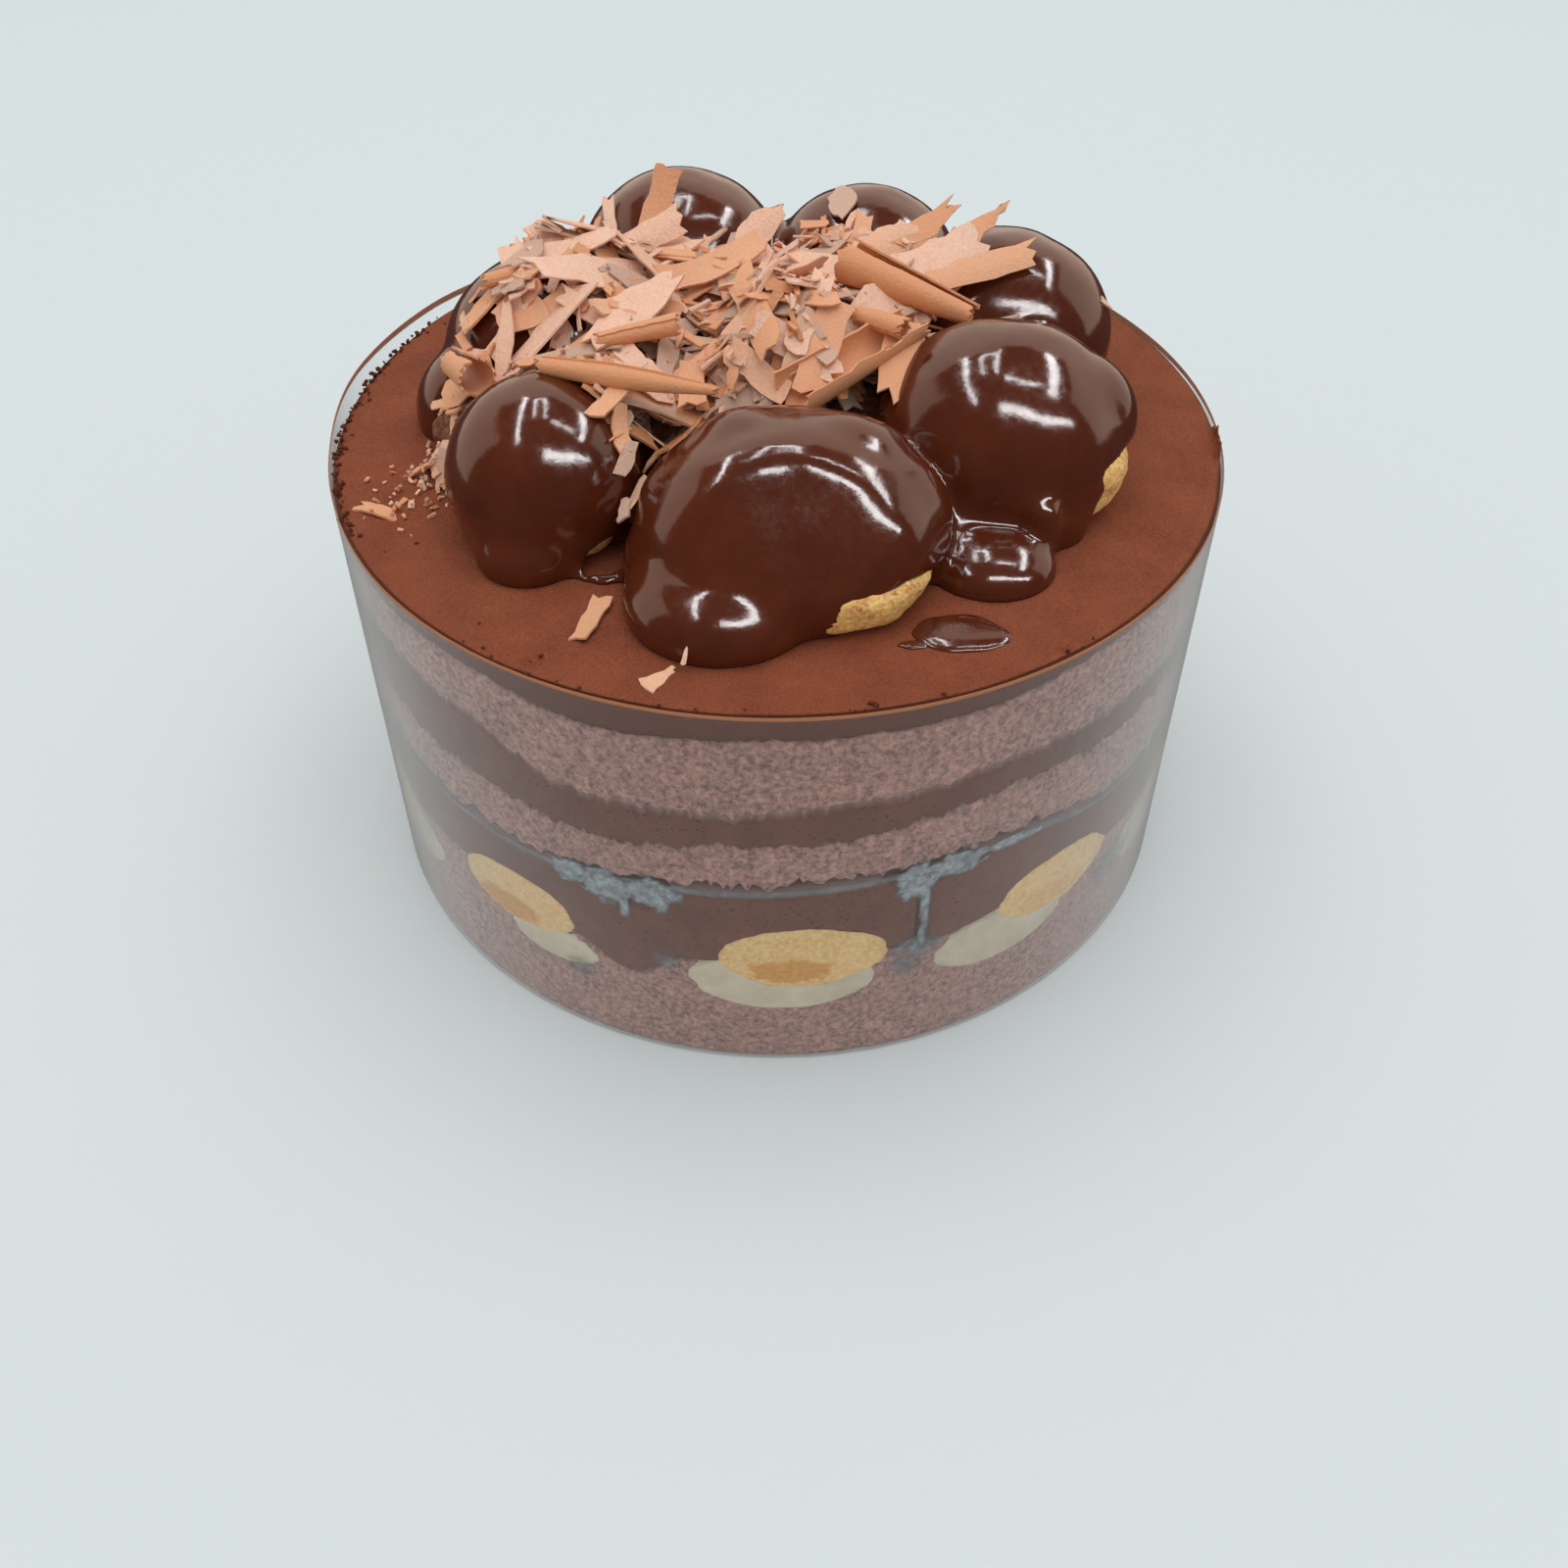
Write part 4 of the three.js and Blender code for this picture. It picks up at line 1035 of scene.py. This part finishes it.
def shavings_material():
    """Scraped milk chocolate: dull pinkish tan flats, orange where the knife polished it, and
    thin greyish ones, all faintly speckled and streaked."""
    material, tree, surface = new_material("milk_chocolate_shavings")
    ramp = add_node(tree, "ShaderNodeValToRGB", {"Fac": point_label(tree, "tone")})
    colours = [(0.0, paint(190, 160, 140)), (0.16, paint(204, 168, 148)), (0.22, paint(244, 200, 176)),
               (0.55, paint(240, 190, 160)), (0.72, paint(234, 166, 122)), (1.0, paint(220, 144, 92))]
    while len(ramp.color_ramp.elements) < len(colours):
        ramp.color_ramp.elements.new(0.5)
    for element, (place, colour) in zip(ramp.color_ramp.elements, colours):
        element.position, element.color = place, colour
    grains, clumps = crumb_masks(tree, 0.6, 2.6)
    speckled = mix_colours(tree, grains, paint(214, 156, 120), ramp.outputs[0])
    shade = map_range(tree, clumps, {"To Min": 0.3, "To Max": 0.75})
    set_surface(tree, surface, mix_colours(tree, shade, speckled, ramp.outputs[0]), 0.55, 0.25,
                Normal=bumped(tree, grains, 0.55, 0.16), Subsurface_Weight=0.12,
                Subsurface_Scale=0.6 * MM)
    return material


def crumbly_material(name, grain_size, dark, light, roughness, specular):
    """Dark and light grains: broken mousse for the crumbs, and painted shade in the gaps of the heap for the
    shavings core.
    """
    material, tree, surface = new_material(name)
    grains, _ = crumb_masks(tree, grain_size, 4.0)
    set_surface(tree, surface, mix_colours(tree, grains, dark, light), roughness, specular)
    return material


CORE_VOXEL = 1.4
core = join_as("shavings_core", [ball_at(x, y, level, wide, deep, top - level - CORE_SINK, 40, 20)
                                 for x, y, wide, deep, level, top in HEAP_DOMES])
apply_modifier(core, "REMESH", mode="VOXEL", voxel_size=CORE_VOXEL * MM)
swell(core, lambda place: 0.8 * MM * ripple(place, 3))
for vertex in core.data.vertices:
    vertex.co.z = max(vertex.co.z, CAKE_HEIGHT + 0.2 * MM)
# The core shows only in the gaps between flakes, and its dark browns are painted shade there.
PAINTED_SHADE_CORE = crumbly_material("shavings_in_painted_shade", 1.4, paint(84, 48, 34), paint(150, 98, 72), 0.8, 0.1)
finish_piece(core, PAINTED_SHADE_CORE, "shavings", "shavings")
SHAVINGS = shavings_material()
finish_piece(flats.piece("shaved_flakes"), SHAVINGS, "shavings")
finish_piece(curls.piece("shaved_curls"), SHAVINGS, "shavings")


# -------------------------------------------------------------------------------- crumbs
# Dark crumbs of mousse that tore off along the left rim and the front, and a few loose ones on the
# top, most of them by the pits.

LOOSE_CRUMBS = [[47, -66], [49.5, -64.5], [51.5, -62.5], [-37.5, -69.5], [-36, -68], [-61, -38.5],
                [61, 12], [-47, -60], [-66, -41], [-69, 38], [20, 74]]
crumb_spots = [rim_point(draw.uniform(150, 208), CAKE_HEIGHT, CAKE_RADIUS - abs(draw.gauss(0, 1.2)) * MM)
               for _ in range(120)]
crumb_spots += [rim_point(draw.uniform(-140, -70), CAKE_HEIGHT, CAKE_RADIUS - draw.uniform(0.3, 1.8) * MM)
                for _ in range(16)]
crumb_spots += [Vector((x * MM, y * MM, CAKE_HEIGHT)) for x, y in LOOSE_CRUMBS]
bpy.ops.mesh.primitive_ico_sphere_add(subdivisions=2, radius=1)
crumb_form = bpy.context.object
crumb_points = np.array([vertex.co for vertex in crumb_form.data.vertices])
crumb_faces = [list(face.vertices) for face in crumb_form.data.polygons]
bpy.data.objects.remove(crumb_form)
all_points, all_faces = [], []
for number, spot in enumerate(crumb_spots):
    size = draw.uniform(0.18, 0.5) * MM
    lumps = np.array([1 + 0.5 * noise.noise(Vector(point) * 1.6 + Vector((number, 0, 0)))
                      for point in crumb_points])
    stretch = np.array([draw.uniform(0.7, 1.3), draw.uniform(0.7, 1.3), draw.uniform(0.6, 1.0)])
    points = crumb_points * lumps[:, None] * stretch * size
    all_faces += [[corner + len(crumb_points) * number for corner in face] for face in crumb_faces]
    lift = draw.uniform(-0.1, 0.6) * size
    all_points += (points + np.array(spot) + np.array([0, 0, lift])).tolist()
crumbs = mesh_piece("mousse_crumbs", all_points, all_faces)
DARK_CRUMBS = crumbly_material("dark_crumbs", 0.5, paint(74, 34, 20), paint(112, 58, 38), 0.85, 0.05)
finish_piece(crumbs, DARK_CRUMBS, "top_mousse")


# --------------------------------------------------------------------------- condensation
# The cake was chilled, and damp has settled inside the film wherever the layers leave it free:
# thick in the air pockets and the channel, thin along the lower mousse and beside the puffs.

DAMP_RADIUS = CAKE_RADIUS + 0.2 * MM
DAMP_CELL = 0.5  # mm
DAMP_FOOT, DAMP_TOP = 14, 56
FAINTEST = 0.02  # the least damp that shows
# Where the air pockets have misted over: direction, half width, half height, and how far the
# middle lies under the sponge, in mm.
DAMP_POCKETS = [[-115, 4, 3, 1.2], [-110.5, 4.5, 4.2, 2.6], [-104.5, 5.2, 3.6, 2.4], [-72.3, 3.8, 4.6, 3.0],
                [-67, 6, 2.9, 1.6], [-59.5, 6.5, 1.2, 0.8], [30.5, 4, 2.2, 1.2], [37.5, 5.5, 3.2, 1.9],
                [143.5, 3.6, 2.4, 1.4], [149, 4.6, 3.6, 2.4], [156, 4, 2, 1.2]]
# Drips below the two front pockets: direction, top and foot in mm, half width.
DRIPS = [[-108.2, 42, 35.5, 1.1], [-103.2, 43, 38.6, 1.3], [-70.9, 44, 26.5, 0.8]]
# Misted places: direction, height, half width, half height in mm, and how thick.
MISTS = [[-71.5, 28, 5.5, 2.8, 0.6], [-73, 23.5, 3.2, 3, 0.35], [-103, 26, 3, 2.5, 0.3],
         [-115, 17, 3, 2.5, 0.3], [-38, 22, 7, 5, 0.35], [38, 27, 6, 3, 0.25], [75, 30, 5, 3, 0.2],
         [110, 27, 5, 3, 0.25], [146, 28, 6, 3, 0.2], [180, 26, 5, 3, 0.25]]
seam_line = ring_curve(MIDDLE_SPONGE_FOOT)


def damp_at(direction, height):
    """How thickly the film is misted at a direction and a height in mm, from 0 to 1."""
    place = rim_point(direction, height * MM)
    ragged = ripple(place, 1.6) + 0.5 * ripple(place, 0.7)
    foot = seam_line(direction) / MM
    damp = 0.36 * (1 - smooth_step(abs(height - foot + 0.5) + 0.25 * ragged, 0.25, 1.0))
    for at, half_width, half_height, below in DAMP_POCKETS:
        across = radians(degrees_past(direction, at)) * RADIUS_MM / half_width
        away = hypot(across, (height - foot + below) / half_height) + 0.3 * ragged
        damp = max(damp, 1 - smooth_step(away, 0.75, 1.0))
    for at, top, low, half_width in DRIPS:
        wander = 0.7 * noise.noise(Vector((at, 0, height / 4)))
        across = abs(radians(direction - at) * RADIUS_MM + wander)
        taper = half_width * (0.55 + 0.45 * smooth_step(height, low, top))
        inside = fade(height, low - 0.4, low + 0.6, top, top + 1)
        damp = max(damp, 0.9 * inside * (1 - smooth_step(across, 0.7 * taper, taper + 0.25)))
    for at, level, half_width, half_height, thick in MISTS:
        across = radians(degrees_past(direction, at)) * RADIUS_MM / half_width
        away = hypot(across, (height - level) / half_height) + 0.5 * ragged
        damp = max(damp, thick * (1 - smooth_step(away, 0.1, 1.1)))
    return damp


damp_columns = round(2 * pi * RADIUS_MM / DAMP_CELL)
damp_rows = round((DAMP_TOP - DAMP_FOOT) / DAMP_CELL)
damp_grid = [[damp_at(360 * i / damp_columns - 180, DAMP_FOOT + j * DAMP_CELL)
              for j in range(damp_rows + 1)] for i in range(damp_columns)]
damp_points, damp_faces, damp_shares, damp_index = [], [], [], {}


def damp_corner(i, j):
    """The number of a grid corner's point, which is made when it is first asked for."""
    key = (i % damp_columns, j)
    if key not in damp_index:
        damp_index[key] = len(damp_points)
        direction = 360 * key[0] / damp_columns - 180
        damp_points.append(rim_point(direction, (DAMP_FOOT + j * DAMP_CELL) * MM, DAMP_RADIUS))
        damp_shares.append(damp_grid[key[0]][j])
    return damp_index[key]


for i in range(damp_columns):
    for j in range(damp_rows):
        corners = [(i, j), (i + 1, j), (i + 1, j + 1), (i, j + 1)]
        if max(damp_grid[column % damp_columns][line] for column, line in corners) > FAINTEST:
            damp_faces.append([damp_corner(*corner) for corner in corners])
condensation = mesh_piece("condensation", damp_points, damp_faces, damp=damp_shares)
apply_modifier(condensation, "SOLIDIFY", thickness=0.03 * MM, offset=1)
shade_creased(condensation, 40)


def condensation_material():
    """Fine droplets on film: blue-grey, with pale beads where they have run together."""
    material, tree, surface = new_material("condensed_damp")
    beads, clumps = crumb_masks(tree, 2.0, 4.5)
    dull = mix_colours(tree, clumps, paint(108, 108, 109), paint(138, 140, 143))
    cover = calculate(tree, "MULTIPLY", point_label(tree, "damp"), map_range(tree, beads, {"To Min": 0.78}))
    set_surface(tree, surface, mix_colours(tree, beads, dull, paint(174, 180, 184)), 0.4, 0.3, Alpha=cover)
    return material


finish_piece(condensation, condensation_material(), "film")


# ---------------------------------------------------------------------------- film collar
# A strip of clear acetate, wrapped once round the cake and lapped over itself at the back. It
# held the layers while they set, and stands a little over the mousse.

FILM_INSIDE = CAKE_RADIUS + 0.28 * MM
FILM_THICKNESS = 0.14 * MM
FILM_FOOT = 0.2 * MM
# Heights of its upper edge, as [direction, mm]. It stands clear of the mousse at the back left.
FILM_TOP = [[-165, 87.6], [-140, 86.4], [-90, 86.1], [-30, 86.2], [20, 86.5], [80, 86.9], [120, 87.6],
            [150, 88.3], [170, 88.2]]
FILM_EDGE = 0.45 * MM  # the cut upper edge, coloured amber, and wider at the back
FILM_START, FILM_LAP = 75, 14
FILM_STEPS = 480
FILM_ROWS = 13  # the last two rows are the cut edge
film_top = ring_curve(FILM_TOP)
film_points, film_faces, film_edge = [], [], []
for i in range(FILM_STEPS + 1):
    direction = FILM_START + (360 + FILM_LAP) * i / FILM_STEPS
    lapped = smooth_step(direction, FILM_START + 350, FILM_START + 362) * 1.6 * FILM_THICKNESS
    edge = FILM_EDGE * (1 + 1.4 * smooth_step(sin(radians(direction)), -0.2, 0.5))
    # The film springs away from the cake at the back left.
    sprung = 1.3 * MM * fade(direction, 130, 150, 166, 190)
    for j in range(FILM_ROWS + 1):
        share = min(j / (FILM_ROWS - 2), 1)
        height = FILM_FOOT + (film_top(direction) - 1.3 * edge - FILM_FOOT) * share
        height += {FILM_ROWS - 1: 0.3 * edge, FILM_ROWS: 1.3 * edge}.get(j, 0)
        film_points.append(rim_point(direction, height, FILM_INSIDE + lapped + sprung * share**6))
        film_edge.append(1.0 if j >= FILM_ROWS - 1 else 0.0)
for i in range(FILM_STEPS):
    for j in range(FILM_ROWS):
        corner = i * (FILM_ROWS + 1) + j
        film_faces.append([corner, corner + FILM_ROWS + 1, corner + FILM_ROWS + 2, corner + 1])
film = mesh_piece("acetate_film", film_points, film_faces, cut_edge=film_edge)
apply_modifier(film, "SOLIDIFY", thickness=FILM_THICKNESS, offset=1)
shade_creased(film, 40)


def film_material():
    """Clear acetate: nearly invisible face on, with a faint greyish haze, and a pale grey towards the
    edges of the view that is painted reflection of the pale surround; and clean soft reflections."""
    material, tree, surface = new_material("clear_acetate")
    cut_edge = point_label(tree, "cut_edge")
    # The pale grey is painted reflection of the surround where the film is seen edge on, over a faint haze
    # face on; the cut edge is amber.
    set_surface(tree, surface, mix_colours(tree, cut_edge, paint(238, 236, 233), paint(196, 118, 66)),
                map_range(tree, cut_edge, {"To Min": 0.16, "To Max": 0.7}), 0.5)
    clear = add_node(tree, "ShaderNodeBsdfTransparent", {"Color": (1, 1, 1, 1)})
    facing = add_node(tree, "ShaderNodeLayerWeight", {"Blend": 0.5}).outputs["Facing"]
    # How much of the pale grey shows: a faint haze face on, and painted reflection towards the edges of the
    # view.
    haze_and_painted_reflection = map_range(tree, calculate(tree, "POWER", facing, 4.0), {"To Min": 0.026})
    seen = calculate(tree, "MAXIMUM", haze_and_painted_reflection, calculate(tree, "MULTIPLY", cut_edge, 0.8))
    mixed = add_node(tree, "ShaderNodeMixShader", {0: seen, 1: clear.outputs[0], 2: surface.outputs[0]})
    tree.links.new(mixed.outputs[0], tree.nodes["Material Output"].inputs["Surface"])
    return material


finish_piece(film, film_material(), "film", "film_collar")


# --------------------------------------------------------------------------- floor and light
# A plain pale floor, an even pale surround, and the lamps of a room, most of which only show in
# the glaze.

FLOOR_HALF = 20.0
bpy.ops.mesh.primitive_plane_add(size=2 * FLOOR_HALF, location=(0, 0, -0.05 * MM))
floor = bpy.context.object
floor.name = "floor"
floor_finish, floor_tree, floor_surface = new_material("pale_floor")
set_surface(floor_tree, floor_surface, paint(218, 223, 223), 0.7, 0.0)
floor.data.materials.append(floor_finish)
floor.visible_glossy = False

world = bpy.context.scene.world or bpy.data.worlds.new("surround")
bpy.context.scene.world = world
world.use_nodes = True
surround = world.node_tree
surround_light = surround.nodes["Background"]
surround_light.inputs["Color"].default_value = paint(228, 234, 236)
# The surround lights everything softly, but glossy things reflect a darker room.
in_gloss = add_node(surround, "ShaderNodeLightPath").outputs["Is Glossy Ray"]
surround_strength = map_range(surround, in_gloss, {"To Min": 0.8, "To Max": 0.06})
surround.links.new(surround_strength, surround_light.inputs["Strength"])

# One lamp lights everything softly from overhead. The rest show only in glossy things: pale walls
# behind the cake and beside its back as soft light planes, and long narrow lamps as streaks.
# Name, place, turns about X and Z in degrees, its two sides in metres, its strength in watts, and
# whether it only shows in glossy things. Unturned, a lamp points straight down.
LAMPS = [
    ["soft_overhead", (0.0, 0.0, 1.9), (0, 0), (2.0, 2.0), 19, False],
    ["back_wall", (0.0, 1.5, 1.1), (-90, 0), (3.4, 2.2), 30, True],
    ["left_wall", (-1.7, 0.65, 0.95), (-90, 90), (1.7, 1.9), 12.5, True],
    ["right_wall", (1.7, 0.8, 0.75), (-90, -90), (1.4, 1.5), 8.4, True],
    ["left_streak", (-0.47, 0.2, 1.1), (0, 0), (0.08, 1.2), 5.6, True],
    ["right_streak", (0.8, 0.34, 1.1), (0, 0), (0.16, 0.85), 7.5, True],
    ["front_streak", (0.85, -0.6, 1.1), (0, 0), (1.7, 0.17), 17, True],
    ["arch_left", (-0.19, 0.34, 1.1), (0, 0), (0.05, 0.42), 1.1, True],
    ["arch_right", (0.0, 0.34, 1.1), (0, 0), (0.05, 0.42), 1.1, True],
    ["arch_top", (-0.09, 0.55, 1.1), (0, 0), (0.22, 0.06), 0.8, True],
    ["middle_streak", (0.36, 0.06, 1.1), (0, 0), (0.46, 0.06), 1.5, True],
]
for name, place, (tip, turn), (wide, deep), watts, only_gloss in LAMPS:
    bpy.ops.object.light_add(type="AREA", location=place,
                             rotation=(radians(tip), 0, radians(turn)))
    lamp = bpy.context.object
    lamp.name = name
    lamp.data.shape = "RECTANGLE"
    lamp.data.size, lamp.data.size_y = wide, deep
    lamp.data.energy = watts
    if name.endswith("wall"):
        lamp.data.color = (1.0, 0.8, 0.66)
    lamp.visible_camera = False
    lamp.visible_diffuse = not only_gloss
    lamp.visible_glossy = only_gloss

bpy.context.scene.view_settings.view_transform = "Standard"
